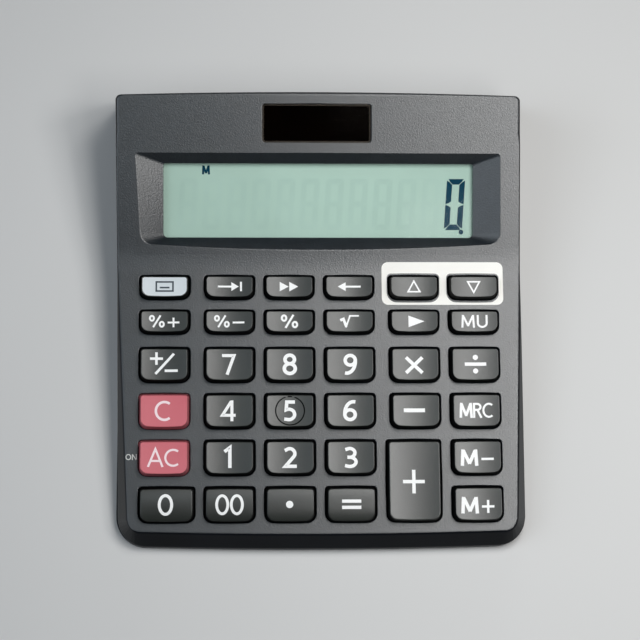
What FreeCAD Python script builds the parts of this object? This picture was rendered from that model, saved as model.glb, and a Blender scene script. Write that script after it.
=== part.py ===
import FreeCAD, Part
import Sketcher
import math
import os

os.makedirs("parts", exist_ok=True)
doc = FreeCAD.newDocument("calculator")
Vector = FreeCAD.Vector
Rotation = FreeCAD.Rotation
Placement = FreeCAD.Placement

# Driving sizes in millimetres and degrees. The sheet holds them under these names.
SIZES = (
    # overall case
    ("case_width", 126.5),
    ("case_depth", 148.0),
    ("case_bottom", 1.0),
    ("parting_height", 2.6),
    ("wall", 1.8),
    ("skirt_reach", 3.1),
    ("face_front_height", 9.5),
    ("key_slope", 5.0),
    ("display_rise", 14.0),
    ("key_face_length", 86.5),
    ("rear_reach", 8.62),
    ("bend_radius", 36.0),
    ("front_corner_radius", 9.5),
    ("rear_corner_radius", 2.5),
    ("front_bow_radius", 1780.0),
    ("rim_bow_radius", 1950.0),
    ("face_half_front", 60.1),
    ("face_half_bend", 63.2),
    ("face_corner_radius", 4.0),
    ("bevel_angle", 30.0),
    ("rim_radius", 0.8),
    ("tool_depth", 12.0),
    # display recess
    ("recess_depth", 3.2),
    ("recess_half_top", 57.5),
    ("recess_half_bottom", 56.8),
    ("recess_top", 33.8),
    ("recess_bottom", 3.4),
    ("recess_lip_radius", 830.0),
    ("recess_top_corner", 1.0),
    ("recess_bottom_corner", 3.9),
    ("window_left", 49.0),
    ("window_right", 48.95),
    ("window_top", 30.6),
    ("window_bottom", 7.2),
    ("window_top_corner", 0.8),
    ("window_bottom_corner", 1.4),
    ("rim_thickness", 0.6),
    ("tub_wall", 1.6),
    ("tub_flare", 3.8),
    ("lens_lip", 1.6),
    ("lens_thickness", 1.0),
    ("lens_clearance", 0.15),
    # display parts
    ("gasket_thickness", 0.5),
    ("gasket_width", 1.2),
    ("glass_thickness", 0.9),
    ("glass_overlap", 2.6),
    ("glass_ledge", 2.4),
    ("reflector_thickness", 0.3),
    ("holder_thickness", 1.5),
    ("holder_margin", 0.4),
    ("lead_thickness", 0.6),
    ("lead_width", 2.0),
    ("film_thickness", 0.15),
    ("film_half_width", 34.0),
    # solar cell
    ("solar_centre", -0.75),
    ("solar_width", 34.4),
    ("solar_bottom", 37.04),
    ("solar_top", 49.31),
    ("solar_corner", 1.0),
    ("solar_sink", 0.4),
    ("solar_plate", 1.0),
    ("solar_ledge", 0.6),
    ("solar_clearance", 0.15),
    ("solar_panel_thickness", 1.1),
    # key openings and keys
    ("column_1", -48.4),
    ("column_2", -28.2),
    ("column_3", -9.5),
    ("column_4", 9.25),
    ("column_5", 29.6),
    ("column_6", 48.4),
    ("row_1", 77.73),
    ("row_2", 66.64),
    ("row_3", 53.02),
    ("row_4", 38.43),
    ("row_5", 23.84),
    ("row_6", 9.30),
    ("opening_width", 16.0),
    ("opening_height", 11.9),
    ("small_opening_height", 8.5),
    ("plus_centre", 28.8),
    ("plus_width", 17.4),
    ("zero_centre", -47.5),
    ("zero_width", 17.6),
    ("opening_rear_corner", 0.65),
    ("opening_front_corner", 1.6),
    ("key_rear_corner", 0.6),
    ("key_front_corner", 1.5),
    ("key_stand", 3.7),
    ("key_clearance", 0.2),
    ("key_top_inset", 0.85),
    ("key_top_inset_front", 0.7),
    ("key_top_inset_rear", 1.25),
    ("key_dish_radius", 42.0),
    ("key_dish_depth", 0.6),
    ("key_crown_radius", 30.0),
    ("key_shell", 1.2),
    ("key_roof", 1.4),
    ("key_stem", 3.2),
    ("flange_gap", 0.1),
    ("flange_thickness", 0.8),
    ("flange_lip", 0.8),
    # key travel stack
    ("key_travel", 1.5),
    ("dome_gap", 0.05),
    ("dome_radius", 4.2),
    ("sheet_thickness", 0.8),
    ("board_thickness", 1.0),
    ("board_half_width", 56.0),
    ("board_front", 1.5),
    ("board_rear", 88.0),
    ("sheet_rear", 83.6),
    # stakes that carry the board and the display holder
    ("stake_width", 1.6),
    ("stake_pin", 1.0),
    ("stake_head", 2.2),
    ("stake_head_height", 0.7),
    ("stake_clearance", 0.2),
    ("rear_stake_x", 45.0),
    ("rear_stake_along", 85.6),
    ("display_stake_x", 53.8),
    ("display_stake_low", 14.5),
    ("display_stake_high", 27.0),
    # lower case and fixings
    ("floor_thickness", 1.6),
    ("lip_thickness", 1.2),
    ("lip_height", 1.7),
    ("lip_clearance", 0.25),
    ("case_screw_side_margin", 9.25),
    ("case_screw_rear_margin", 13.0),
    ("case_screw_radius", 1.2),
    ("case_screw_length", 9.0),
    ("case_screw_head", 2.2),
    ("case_screw_head_height", 1.4),
    ("screw_clearance", 0.1),
    ("case_boss_half", 2.9),
    ("case_boss_corner", 1.4),
    ("hook_x", 22.0),
    ("hook_half", 3.0),
    ("hook_reach", 1.6),
    ("hook_height", 0.8),
    ("hook_clearance", 0.2),
    ("boss_seat", 5.0),
    ("prop_width", 3.0),
    ("prop_gap", 0.1),
    ("foot_length", 14.0),
    ("foot_width", 8.0),
    ("foot_corner", 2.0),
    ("foot_side_margin", 23.25),
    ("foot_front_margin", 14.0),
    ("foot_rear_margin", 16.0),
    # battery
    ("cell_radius", 5.8),
    ("cell_height", 5.4),
    ("cell_x", -30.0),
    ("cell_y", 46.0),
    ("cell_clearance", 0.3),
    ("cell_fence_wall", 1.2),
    ("cell_fence_height", 5.0),
    ("contact_thickness", 0.3),
    ("contact_width", 4.0),
    # parts on the board
    ("chip_side", 14.0),
    ("chip_height", 1.5),
    ("chip_along", 66.0),
)

sheet = doc.addObject("Spreadsheet::Sheet", "sizes")
for row, (alias, value) in enumerate(SIZES, start=1):
    sheet.set("A%d" % row, alias)
    sheet.set("B%d" % row, str(value))
    sheet.setAlias("B%d" % row, alias)
doc.recompute()


def amount(expression):
    """The plain number that an expression of the sheet gives."""
    result = sheet.evalExpression(expression)
    return float(getattr(result, "Value", result))


KNOWN = {alias for alias, value in SIZES}


def ex(text):
    """An expression in which every known size name gets its sheet."""
    words = []
    word = ""
    for letter in text + " ":
        if letter.isalnum() or letter == "_":
            word += letter
            continue
        words.append("sizes." + word if word in KNOWN else word)
        words.append(letter)
        word = ""
    return "".join(words).strip()


def size(text):
    """The number for a short expression."""
    return amount(ex(text))


def bind(thing, target, text):
    """Bind one property of a feature to a short expression."""
    thing.setExpression(target, ex(text))


def origin_plane(body, role):
    """The body's own origin plane of the given role."""
    return [plane for plane in body.Origin.OriginFeatures if plane.Role == role][0]


def new_body(name, frame=None):
    """An empty body that stands in one of the frames."""
    body = doc.addObject("PartDesign::Body", name)
    if frame is not None:
        body.Placement = frame
    return body


def new_sketch(body, name, role="XY_Plane", height=None):
    """A sketch on an origin plane, lifted along its normal by an expression."""
    sketch = body.newObject("Sketcher::SketchObject", name)
    sketch.AttachmentSupport = [(origin_plane(body, role), "")]
    sketch.MapMode = "FlatFace"
    if height is not None:
        sketch.AttachmentOffset = Placement(Vector(0, 0, size(height)), Rotation())
        bind(sketch, "AttachmentOffset.Base.z", height)
    return sketch


def arc_between(start, end, radius, turn):
    """The short arc from start to end; turn is 1 for anticlockwise and -1 for clockwise."""
    chord = end - start
    half = chord.Length / 2
    middle = (start + end) * 0.5
    normal = Vector(-chord.y, chord.x, 0).normalize()
    reach = math.sqrt(max(radius * radius - half * half, 0.0))
    centre = middle + normal * (reach * turn)
    first, last = (start, end) if turn > 0 else (end, start)
    angle_first = math.atan2(first.y - centre.y, first.x - centre.x)
    angle_last = math.atan2(last.y - centre.y, last.x - centre.x)
    circle = Part.Circle(centre, Vector(0, 0, 1), radius)
    return Part.ArcOfCircle(circle, angle_first, angle_last)


def add_loops(sketch, loops):
    """Closed outlines. Each corner is (x, y), or (x, y, radius, turn) for an arc to the next one."""
    constraints = []
    bound = []
    for corners in loops:
        points = [Vector(size(corner[0]), size(corner[1]), 0) for corner in corners]
        curves = []
        ends = []
        for i, corner in enumerate(corners):
            start, end = points[i], points[(i + 1) % len(points)]
            index = sketch.GeometryCount + len(curves)
            if len(corner) == 2:
                curves.append(Part.LineSegment(start, end))
                ends.append((index, 1, 2))
            else:
                curves.append(arc_between(start, end, size(corner[2]), corner[3]))
                ends.append((index, 1, 2) if corner[3] > 0 else (index, 2, 1))
        sketch.addGeometry(curves, False)
        for i, corner in enumerate(corners):
            index, first, last = ends[i]
            after, after_first, _ = ends[(i + 1) % len(ends)]
            constraints.append(Sketcher.Constraint("Coincident", index, last, after, after_first))
            places = (("DistanceX", corner[0], points[i].x), ("DistanceY", corner[1], points[i].y))
            for kind, text, value in places:
                bound.append((len(constraints), text))
                constraints.append(Sketcher.Constraint(kind, index, first, value))
            if len(corner) > 2:
                bound.append((len(constraints), corner[2]))
                constraints.append(Sketcher.Constraint("Radius", index, size(corner[2])))
    sketch.addConstraint(constraints)
    for number, text in bound:
        bind(sketch, "Constraints[%d]" % number, text)


def rectangle(left, right, bottom, top):
    """The corners of a plain rectangle."""
    return [(left, bottom), (right, bottom), (right, top), (left, top)]


def rounded(left, right, bottom, top, low, high):
    """The corners of a rectangle with rounded corners of radius low at the bottom and high at the top."""
    return [
        (left + " + " + low, bottom),
        (right + " - " + low, bottom, low, 1),
        (right, bottom + " + " + low),
        (right, top + " - " + high, high, 1),
        (right + " - " + high, top),
        (left + " + " + high, top, high, 1),
        (left, top + " - " + high),
        (left, bottom + " + " + low, low, 1),
    ]


def clipped(left, right, bottom, top, low, high):
    """The corners of a rectangle whose corners are cut off by low at the bottom and high at the top."""
    return [
        (left + " + " + low, bottom),
        (right + " - " + low, bottom),
        (right, bottom + " + " + low),
        (right, top + " - " + high),
        (right + " - " + high, top),
        (left + " + " + high, top),
        (left, top + " - " + high),
        (left, bottom + " + " + low),
    ]


def pad(body, name, sketch, length, both=False, down=False):
    """Raise a sketch by a bound length."""
    feature = body.newObject("PartDesign::Pad", name)
    feature.Profile = sketch
    feature.Length = size(length)
    bind(feature, "Length", length)
    feature.Midplane = both
    feature.Reversed = down
    return feature


def pocket(body, name, sketch, length=None, both=False, up=False):
    """Sink a sketch by a bound length, or through everything."""
    feature = body.newObject("PartDesign::Pocket", name)
    feature.Profile = sketch
    if length is None:
        feature.Type = "ThroughAll"
    else:
        feature.Length = size(length)
        bind(feature, "Length", length)
    feature.Midplane = both
    feature.Reversed = up
    return feature


def prism(name, frame, corners, height, length, role="XY_Plane", both=False, down=False):
    """A body of one padded outline."""
    body = new_body(name, frame)
    sketch = new_sketch(body, name + "_outline", role, height)
    add_loops(sketch, [corners])
    pad(body, name + "_pad", sketch, length, both, down)
    return body


def loft(name, frame, low_corners, low_height, high_corners, high_height):
    """A body lofted straight between two outlines of the same make."""
    body = new_body(name, frame)
    low = new_sketch(body, name + "_low", "XY_Plane", low_height)
    add_loops(low, [low_corners])
    high = new_sketch(body, name + "_high", "XY_Plane", high_height)
    add_loops(high, [high_corners])
    feature = body.newObject("PartDesign::AdditiveLoft", name + "_loft")
    feature.Profile = low
    feature.Sections = [high]
    feature.Ruled = True
    return body


def cut(name, base, tool):
    """Base without tool."""
    result = doc.addObject("Part::Cut", name)
    result.Base = base
    result.Tool = tool
    doc.recompute()
    return result


def fuse(name, shapes):
    """All shapes as one."""
    result = doc.addObject("Part::MultiFuse", name)
    result.Shapes = shapes
    doc.recompute()
    return result


def compound(name, shapes):
    """Separate solids kept together."""
    result = doc.addObject("Part::Compound", name)
    result.Links = shapes
    return result


def box(name, frame, left, right, front, back, low, high):
    """A block between bound limits, in one of the frames."""
    body = new_body(name, frame)
    block = body.newObject("PartDesign::AdditiveBox", name + "_block")
    bind(block, "Length", "(" + right + ") - (" + left + ")")
    bind(block, "Width", "(" + back + ") - (" + front + ")")
    bind(block, "Height", "(" + high + ") - (" + low + ")")
    block.Placement = Placement(Vector(size(left), size(front), size(low)), Rotation())
    bind(block, "Placement.Base.x", left)
    bind(block, "Placement.Base.y", front)
    bind(block, "Placement.Base.z", low)
    return body


def rod(name, frame, across, along, low, high, radius):
    """A round post between bound limits, in one of the frames."""
    body = new_body(name, frame)
    post = body.newObject("PartDesign::AdditiveCylinder", name + "_post")
    bind(post, "Radius", radius)
    bind(post, "Height", "(" + high + ") - (" + low + ")")
    post.Placement = Placement(Vector(size(across), size(along), size(low)), Rotation())
    bind(post, "Placement.Base.x", across)
    bind(post, "Placement.Base.y", along)
    bind(post, "Placement.Base.z", low)
    return body


# Frames. The key frame starts at the middle of the front edge of the face and its Z is
# the face's normal. The display frame starts at the middle of the bend.
KEY_TILT = size("key_slope")
DISPLAY_TILT = size("key_slope + display_rise")
ACROSS = Vector(1, 0, 0)
face_start = Vector(0, size("skirt_reach - case_depth / 2"), size("face_front_height"))
key_frame = Placement(face_start, Rotation(ACROSS, KEY_TILT))
bend_start = key_frame.multVec(Vector(0, size("key_face_length"), 0))
display_frame = Placement(bend_start, Rotation(ACROSS, DISPLAY_TILT))
case_frame = Placement()

# How long the display face is, so that its rear rim stays rear_reach in front of the rear wall.
DISPLAY_LENGTH = (
    "((case_depth - skirt_reach - rear_reach - key_face_length * cos(key_slope))"
    " / cos(key_slope + display_rise))"
)

# How near a point must lie to a face of the form to count as lying on it.
FLAT = 0.02


def edges_where(shape, test):
    """Numbers of the edges whose middle passes a test."""
    found = []
    for number, edge in enumerate(shape.Edges, start=1):
        first, last = edge.ParameterRange
        if test(edge, edge.valueAt((first + last) / 2)):
            found.append(number)
    return found


def rounded_edges(name, base, radius, test):
    """Round the edges that pass a test. Their one radius comes from the sheet."""
    result = doc.addObject("Part::Fillet", name)
    result.Base = base
    value = size(radius)
    result.Edges = [(number, value, value) for number in edges_where(base.Shape, test)]
    doc.recompute()
    return result


def in_frame(frame, point):
    """A point of the case in one of the frames."""
    return frame.inverse().multVec(point)


def near_face(middle):
    """Whether a point lies on the top of the case form, the bend included."""
    key = in_frame(key_frame, middle)
    display = in_frame(display_frame, middle)
    depth = FORM_INSET[-1]
    reach = size("bend_radius * tan(display_rise / 2)") * 1.2
    on_key = abs(key.z + depth) < FLAT and key.y < size("key_face_length") + reach
    on_display = abs(display.z + depth) < FLAT and display.y > 0
    on_bend = abs(key.y - size("key_face_length")) < reach and abs(key.z + depth) < 1
    return on_key or on_display or on_bend


def at_bend(edge, middle):
    """The straight edge where the key face meets the display face."""
    return edge.Length > size("case_width / 2") and near_face(middle) and is_crossing(middle)


def is_crossing(middle):
    """Whether an edge's middle lies at the middle of the bend."""
    key = in_frame(key_frame, middle)
    return abs(key.x) < 1 and abs(key.y - size("key_face_length")) < size("bend_radius / 5")


def on_rim(edge, middle):
    """The outer edges of the key face, the bend and the display face."""
    return near_face(middle) and not is_crossing(middle)


# The inset of the form that is being built, for the tests above.
FORM_INSET = [0.0]


# The case form, built once for the outside and once for the inside.
def case_form(name, inset, low, rim_radius):
    """The solid inside the case's outline, drawn in by inset and reaching down to low."""
    FORM_INSET.append(size(inset))
    half = "(case_width / 2 - " + inset + ")"
    front = "(case_depth / 2 - " + inset + ")"
    corner = "(front_corner_radius - " + inset + ")"
    rear_corner = "(rear_corner_radius - " + inset + " * 0.5)"
    bow = "front_bow_radius"
    across = "(" + half + " - " + corner + ")"
    sag = "(" + bow + " - sqrt(" + bow + " ^ 2 - " + across + " ^ 2))"
    plan = [
        ("-" + across, "-" + front + " + " + sag, bow, 1),
        (across, "-" + front + " + " + sag, corner, 1),
        (half, "-" + front + " + " + sag + " + " + corner),
        (half, front + " - " + rear_corner, rear_corner, 1),
        (half + " - " + rear_corner, front),
        ("-" + half + " + " + rear_corner, front, rear_corner, 1),
        ("-" + half, front + " - " + rear_corner),
        ("-" + half, "-" + front + " + " + sag + " + " + corner, corner, 1),
    ]
    block = prism(name + "_block", case_frame, plan, low, "case_depth / 2")

    # everything above the key face and the display face
    turn = "(" + inset + " * tan(display_rise / 2))"
    run = "(case_depth * cos(display_rise) + " + inset + " * sin(display_rise))"
    rise = "(case_depth * sin(display_rise) - " + inset + " * cos(display_rise))"
    above = [
        ("-case_depth / 2", "-" + inset + " + 0"),
        ("key_face_length + " + turn, "-" + inset + " + 0"),
        ("key_face_length + " + run, rise),
        ("key_face_length + " + run, "case_depth"),
        ("-case_depth / 2", "case_depth"),
    ]
    top = prism(name + "_above", key_frame, above, None, "2 * case_width", "YZ_Plane", True)

    # everything behind the display face's bowed rim
    rim = "(" + DISPLAY_LENGTH + " - " + inset + ")"
    rim_across = "case_width / 2"
    rim_sag = "(rim_bow_radius - sqrt(rim_bow_radius ^ 2 - (case_width / 2) ^ 2))"
    behind = [
        (rim_across, rim + " - " + rim_sag),
        (rim_across, rim + " + case_depth"),
        ("-" + rim_across, rim + " + case_depth"),
        ("-" + rim_across, rim + " - " + rim_sag, "rim_bow_radius", -1),
    ]
    rear = prism(name + "_behind", display_frame, behind, None, "2 * case_depth", "XY_Plane", True)

    # everything outside the flared sides and the skirt, in front of the bend
    drawn = "(tool_depth * tan(bevel_angle) - " + inset + " / cos(bevel_angle))"
    flare = "((face_half_bend - face_half_front) / key_face_length)"
    round_ = "(face_corner_radius + tool_depth * tan(bevel_angle) * 0.5 - " + inset + " * 0.8)"
    wide = "(face_half_front + " + drawn + ")"
    inner = "(" + wide + " - " + round_ + ")"
    dip = "(" + bow + " - sqrt(" + bow + " ^ 2 - " + inner + " ^ 2))"
    edge = "(" + dip + " - " + drawn + ")"
    far = "(key_face_length + tool_depth)"
    footprint = [
        ("-" + inner, edge, bow, 1),
        (inner, edge, round_, 1),
        (wide, edge + " + " + round_),
        (wide + " + " + flare + " * " + far, far),
        ("-" + wide + " - " + flare + " * " + far, far),
        ("-" + wide, edge + " + " + round_, round_, 1),
    ]
    drawn_top = "(0 - tool_depth * 0.25 * tan(bevel_angle) - " + inset + " / cos(bevel_angle))"
    round_top = "(face_corner_radius - tool_depth * 0.25 * tan(bevel_angle) * 0.5 - " + inset + " * 0.8)"
    wide_top = "(face_half_front + " + drawn_top + ")"
    inner_top = "(" + wide_top + " - " + round_top + ")"
    dip_top = "(" + bow + " - sqrt(" + bow + " ^ 2 - " + inner_top + " ^ 2))"
    edge_top = "(" + dip_top + " - " + drawn_top + ")"
    footprint_top = [
        ("-" + inner_top, edge_top, bow, 1),
        (inner_top, edge_top, round_top, 1),
        (wide_top, edge_top + " + " + round_top),
        (wide_top + " + " + flare + " * " + far, far),
        ("-" + wide_top + " - " + flare + " * " + far, far),
        ("-" + wide_top, edge_top + " + " + round_top, round_top, 1),
    ]
    flared = loft(
        name + "_flared", key_frame, footprint, "-tool_depth", footprint_top, "tool_depth * 0.25"
    )
    slab = box(
        name + "_slab", key_frame, "-case_width", "case_width", "-case_depth / 3", "key_face_length",
        "-tool_depth", "tool_depth * 0.25",
    )
    beside = cut(name + "_beside", slab, flared)
    shape = cut(name + "_below", block, top)
    shape = cut(name + "_shortened", shape, rear)
    shape = rounded_edges(name + "_bend", shape, "bend_radius + " + inset, at_bend)
    if rim_radius is not None:
        shape = rounded_edges(name + "_rim", shape, rim_radius, on_rim)
    return cut(name + "_form", shape, beside)


# Upper case.
outer = case_form("outer", "0", "parting_height", "rim_radius")
inner = case_form("inner", "wall", "parting_height - floor_thickness", None)
shell = cut("case_shell", outer, inner)

# The tub behind the display recess, then the recess itself.
tub_low = rectangle(
    "-window_left - tub_flare", "window_right + tub_flare",
    "window_bottom - tub_flare", "window_top + tub_flare * 0.6",
)
tub_high = rectangle(
    "-recess_half_top - tub_wall * 1.5", "recess_half_top + tub_wall * 1.5",
    "recess_bottom - tub_wall", "recess_top + tub_wall",
)
tub_floor = "(-recess_depth - rim_thickness - lens_thickness)"
tub = loft("tub", display_frame, tub_low, tub_floor, tub_high, "-wall * 0.5")

lip_half = "(recess_half_bottom - recess_bottom_corner)"
lip_sag = "(recess_lip_radius - sqrt(recess_lip_radius ^ 2 - " + lip_half + " ^ 2))"
lip_end = "(recess_bottom + " + lip_sag + ")"
recess_mouth = [
    ("-recess_half_bottom + recess_bottom_corner", lip_end, "recess_lip_radius", 1),
    ("recess_half_bottom - recess_bottom_corner", lip_end, "recess_bottom_corner", 1),
    ("recess_half_bottom", lip_end + " + recess_bottom_corner"),
    ("recess_half_top", "recess_top - recess_top_corner", "recess_top_corner", 1),
    ("recess_half_top - recess_top_corner", "recess_top"),
    ("-recess_half_top + recess_top_corner", "recess_top", "recess_top_corner", 1),
    ("-recess_half_top", "recess_top - recess_top_corner"),
    ("-recess_half_bottom", lip_end + " + recess_bottom_corner", "recess_bottom_corner", 1),
]
recess_bed = rounded(
    "-window_left", "window_right", "window_bottom", "window_top",
    "window_bottom_corner", "window_top_corner",
)
recess = loft("recess", display_frame, recess_bed, "-recess_depth", recess_mouth, "0 * wall")
window_hole = prism(
    "window_hole", display_frame, recess_bed, "-recess_depth - 2 * rim_thickness", "3 * rim_thickness",
)
lens_edge = "(lens_lip + lens_clearance)"
lens_seat = box(
    "lens_seat", display_frame, "-window_left - " + lens_edge, "window_right + " + lens_edge,
    "window_bottom - " + lens_edge, "window_top + " + lens_edge,
    tub_floor + " - lens_thickness", "-recess_depth - rim_thickness",
)
with_tub = fuse("case_with_tub", [shell, tub])
for name, tool in (("mouth", recess), ("sight", window_hole), ("seat", lens_seat)):
    with_tub = cut("case_" + name, with_tub, tool)

# Rows of keys. The tall key spans the last two.
ROWS = ("row_1", "row_2", "row_3", "row_4", "row_5", "row_6")
SMALL_ROWS = ("row_1", "row_2")
PLUS_MIDDLE = "((row_5 + row_6) / 2)"
PLUS_HALF = "((row_5 - row_6 + opening_height) / 2)"

# Each key: its piece name, column and row.
KEYS = (
    ("key_display", "column_1", "row_1"),
    ("key_go_to", "column_2", "row_1"),
    ("key_auto_review", "column_3", "row_1"),
    ("key_correct", "column_4", "row_1"),
    ("key_step_up", "column_5", "row_1"),
    ("key_step_down", "column_6", "row_1"),
    ("key_tax_plus", "column_1", "row_2"),
    ("key_tax_minus", "column_2", "row_2"),
    ("key_percent", "column_3", "row_2"),
    ("key_root", "column_4", "row_2"),
    ("key_play", "column_5", "row_2"),
    ("key_markup", "column_6", "row_2"),
    ("key_sign", "column_1", "row_3"),
    ("key_7", "column_2", "row_3"),
    ("key_8", "column_3", "row_3"),
    ("key_9", "column_4", "row_3"),
    ("key_times", "column_5", "row_3"),
    ("key_divide", "column_6", "row_3"),
    ("key_clear", "column_1", "row_4"),
    ("key_4", "column_2", "row_4"),
    ("key_5", "column_3", "row_4"),
    ("key_6", "column_4", "row_4"),
    ("key_minus", "column_5", "row_4"),
    ("key_memory_recall", "column_6", "row_4"),
    ("key_all_clear", "column_1", "row_5"),
    ("key_1", "column_2", "row_5"),
    ("key_2", "column_3", "row_5"),
    ("key_3", "column_4", "row_5"),
    ("key_plus", "column_5", "row_5"),
    ("key_memory_minus", "column_6", "row_5"),
    ("key_0", "column_1", "row_6"),
    ("key_00", "column_2", "row_6"),
    ("key_point", "column_3", "row_6"),
    ("key_equals", "column_4", "row_6"),
    ("key_memory_plus", "column_6", "row_6"),
)
CROWNED = ("key_0", "key_00", "key_point", "key_equals")


def key_place(name, column, row):
    """Expressions for a key's middle and for half of its opening's width and height."""
    if name == "key_plus":
        return "plus_centre", PLUS_MIDDLE, "(plus_width / 2)", PLUS_HALF
    half_high = "(small_opening_height / 2)" if row in SMALL_ROWS else "(opening_height / 2)"
    if name == "key_0":
        return "zero_centre", row, "(zero_width / 2)", half_high
    return column, row, "(opening_width / 2)", half_high


# Key openings: one padded sketch for each row.
openings = []
for row in ROWS:
    opening = new_body("openings_" + row, key_frame)
    outline = new_sketch(opening, "outlines_" + row, "XY_Plane", "-2 * wall")
    loops = []
    for name, column, key_row in KEYS:
        if key_row != row:
            continue
        across, along, half, half_high = key_place(name, column, key_row)
        loops.append(clipped(
            across + " - " + half, across + " + " + half, along + " - " + half_high,
            along + " + " + half_high, "opening_front_corner", "opening_rear_corner",
        ))
    add_loops(outline, loops)
    pad(opening, "openings_pad_" + row, outline, "3 * wall")
    openings.append(opening)
all_openings = compound("key_openings", openings)
with_openings = cut("case_openings", with_tub, all_openings)

# The solar window's pocket, with a ledge behind it.
SOLAR = ("solar_centre - solar_width / 2", "solar_centre + solar_width / 2", "solar_bottom", "solar_top")


def solar_outline(inset, corner):
    """The solar opening drawn in by an inset."""
    left, right, bottom, top = SOLAR
    return clipped(
        left + " + " + inset, right + " - " + inset, bottom + " + " + inset, top + " - " + inset,
        corner, corner,
    )


solar_pocket = prism(
    "solar_pocket", display_frame, solar_outline("0 * wall", "solar_corner * 0.6"),
    "-solar_sink - solar_plate", "wall * 2",
)
solar_hole = prism(
    "solar_hole", display_frame, solar_outline("solar_ledge", "solar_corner * 0.6"), "-2 * wall", "3 * wall",
)
shape = cut("case_solar_pocket", with_openings, solar_pocket)
shape = cut("case_solar_hole", shape, solar_hole)

# Levels of the key stack, along the key face's normal.
FLANGE_TOP = "(0 - wall - flange_gap)"
FLANGE_LOW = "(" + FLANGE_TOP + " - flange_thickness)"
SHEET_TOP = "(" + FLANGE_LOW + " - key_travel)"
BOARD_TOP = "(" + SHEET_TOP + " - sheet_thickness)"
BOARD_LOW = "(" + BOARD_TOP + " - board_thickness)"

# Levels of the display stack, along the display face's normal.
LENS_LOW = tub_floor
GASKET_LOW = "(" + LENS_LOW + " - gasket_thickness)"
GLASS_MIDDLE = "(" + GASKET_LOW + " - glass_thickness)"
GLASS_LOW = "(" + GLASS_MIDDLE + " - glass_thickness)"
REFLECTOR_LOW = "(" + GLASS_LOW + " - reflector_thickness)"
HOLDER_LOW = "(" + REFLECTOR_LOW + " - holder_thickness)"


def square(name, frame, across, along, width, low, high):
    """A square post about a middle."""
    half = " " + width + " / 2"
    return box(
        name, frame, across + " -" + half, across + " +" + half, along + " -" + half,
        along + " +" + half, low, high,
    )


def stake(name, frame, across, along, root, shoulder, end):
    """A moulded post whose pin goes through a plate and is melted over behind it."""
    return [
        square(name + "_post", frame, across, along, "stake_width", shoulder, root),
        square(name + "_pin", frame, across, along, "stake_pin", end, shoulder),
        square(name + "_head", frame, across, along, "stake_head", end + " - stake_head_height", end),
    ]


GAP_ONE_TWO = "((column_1 + column_2) / 2)"
GAP_FOUR_FIVE = "((column_4 + column_5) / 2)"
GAP_THREE_FOUR_ROW = "((row_3 + row_4) / 2)"
GAP_FOUR_FIVE_ROW = "((row_4 + row_5) / 2)"
GAP_TWO_THREE_ROW = "((row_2 - small_opening_height / 2 + row_3 + opening_height / 2) / 2)"
SHEET_STAKES = (
    (GAP_ONE_TWO, GAP_FOUR_FIVE_ROW),
    (GAP_ONE_TWO, GAP_TWO_THREE_ROW),
    (GAP_FOUR_FIVE, GAP_THREE_FOUR_ROW),
    (GAP_FOUR_FIVE, GAP_TWO_THREE_ROW),
)
REAR_STAKES = (("-rear_stake_x", "rear_stake_along"), ("rear_stake_x", "rear_stake_along"))
DISPLAY_STAKES = (
    ("-display_stake_x", "display_stake_low"),
    ("display_stake_x", "display_stake_low"),
    ("-display_stake_x", "display_stake_high"),
    ("display_stake_x", "display_stake_high"),
)
posts = []
for number, (across, along) in enumerate(SHEET_STAKES, start=1):
    posts += stake("sheet_stake_%d" % number, key_frame, across, along, "-wall / 2", SHEET_TOP, BOARD_LOW)
for number, (across, along) in enumerate(REAR_STAKES, start=1):
    posts += stake("rear_stake_%d" % number, key_frame, across, along, "-wall / 2", BOARD_TOP, BOARD_LOW)
for number, (across, along) in enumerate(DISPLAY_STAKES, start=1):
    posts += stake(
        "display_stake_%d" % number, display_frame, across, along,
        "-recess_depth", REFLECTOR_LOW, HOLDER_LOW,
    )

# Bosses for the case screws, trimmed by the case's own form and by the recess.
SCREW_ACROSS = "(case_width / 2 - case_screw_side_margin)"
SCREW_ALONG = "(case_depth / 2 - case_screw_rear_margin)"
CASE_SCREWS = (("-" + SCREW_ACROSS, SCREW_ALONG), (SCREW_ACROSS, SCREW_ALONG))


def boss(name, across, along, low, height):
    """A post with cut corners about a middle of the case."""
    outline = clipped(
        across + " - case_boss_half", across + " + case_boss_half", along + " - case_boss_half",
        along + " + case_boss_half", "case_boss_corner", "case_boss_corner",
    )
    return prism(name, case_frame, outline, low, height)


rods = []
pilots = []
for number, (across, along) in enumerate(CASE_SCREWS, start=1):
    rods.append(boss("boss_%d" % number, across, along, "boss_seat + screw_clearance", "case_depth / 4"))
    pilots.append(rod(
        "pilot_%d" % number, case_frame, across, along, "boss_seat - wall", "boss_seat + case_screw_length",
        "case_screw_radius + screw_clearance / 2",
    ))
all_rods = compound("boss_rods", rods)
bosses = doc.addObject("Part::Common", "bosses")
bosses.Base = all_rods
bosses.Tool = outer
doc.recompute()
for name, tool in (("bosses_sight", recess), ("bosses_window", window_hole), ("bosses_seat", lens_seat)):
    bosses = cut(name, bosses, tool)
shape = fuse("case_with_posts", [shape, bosses] + posts)
shape = cut("case_pilots", shape, compound("pilots", pilots))

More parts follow.
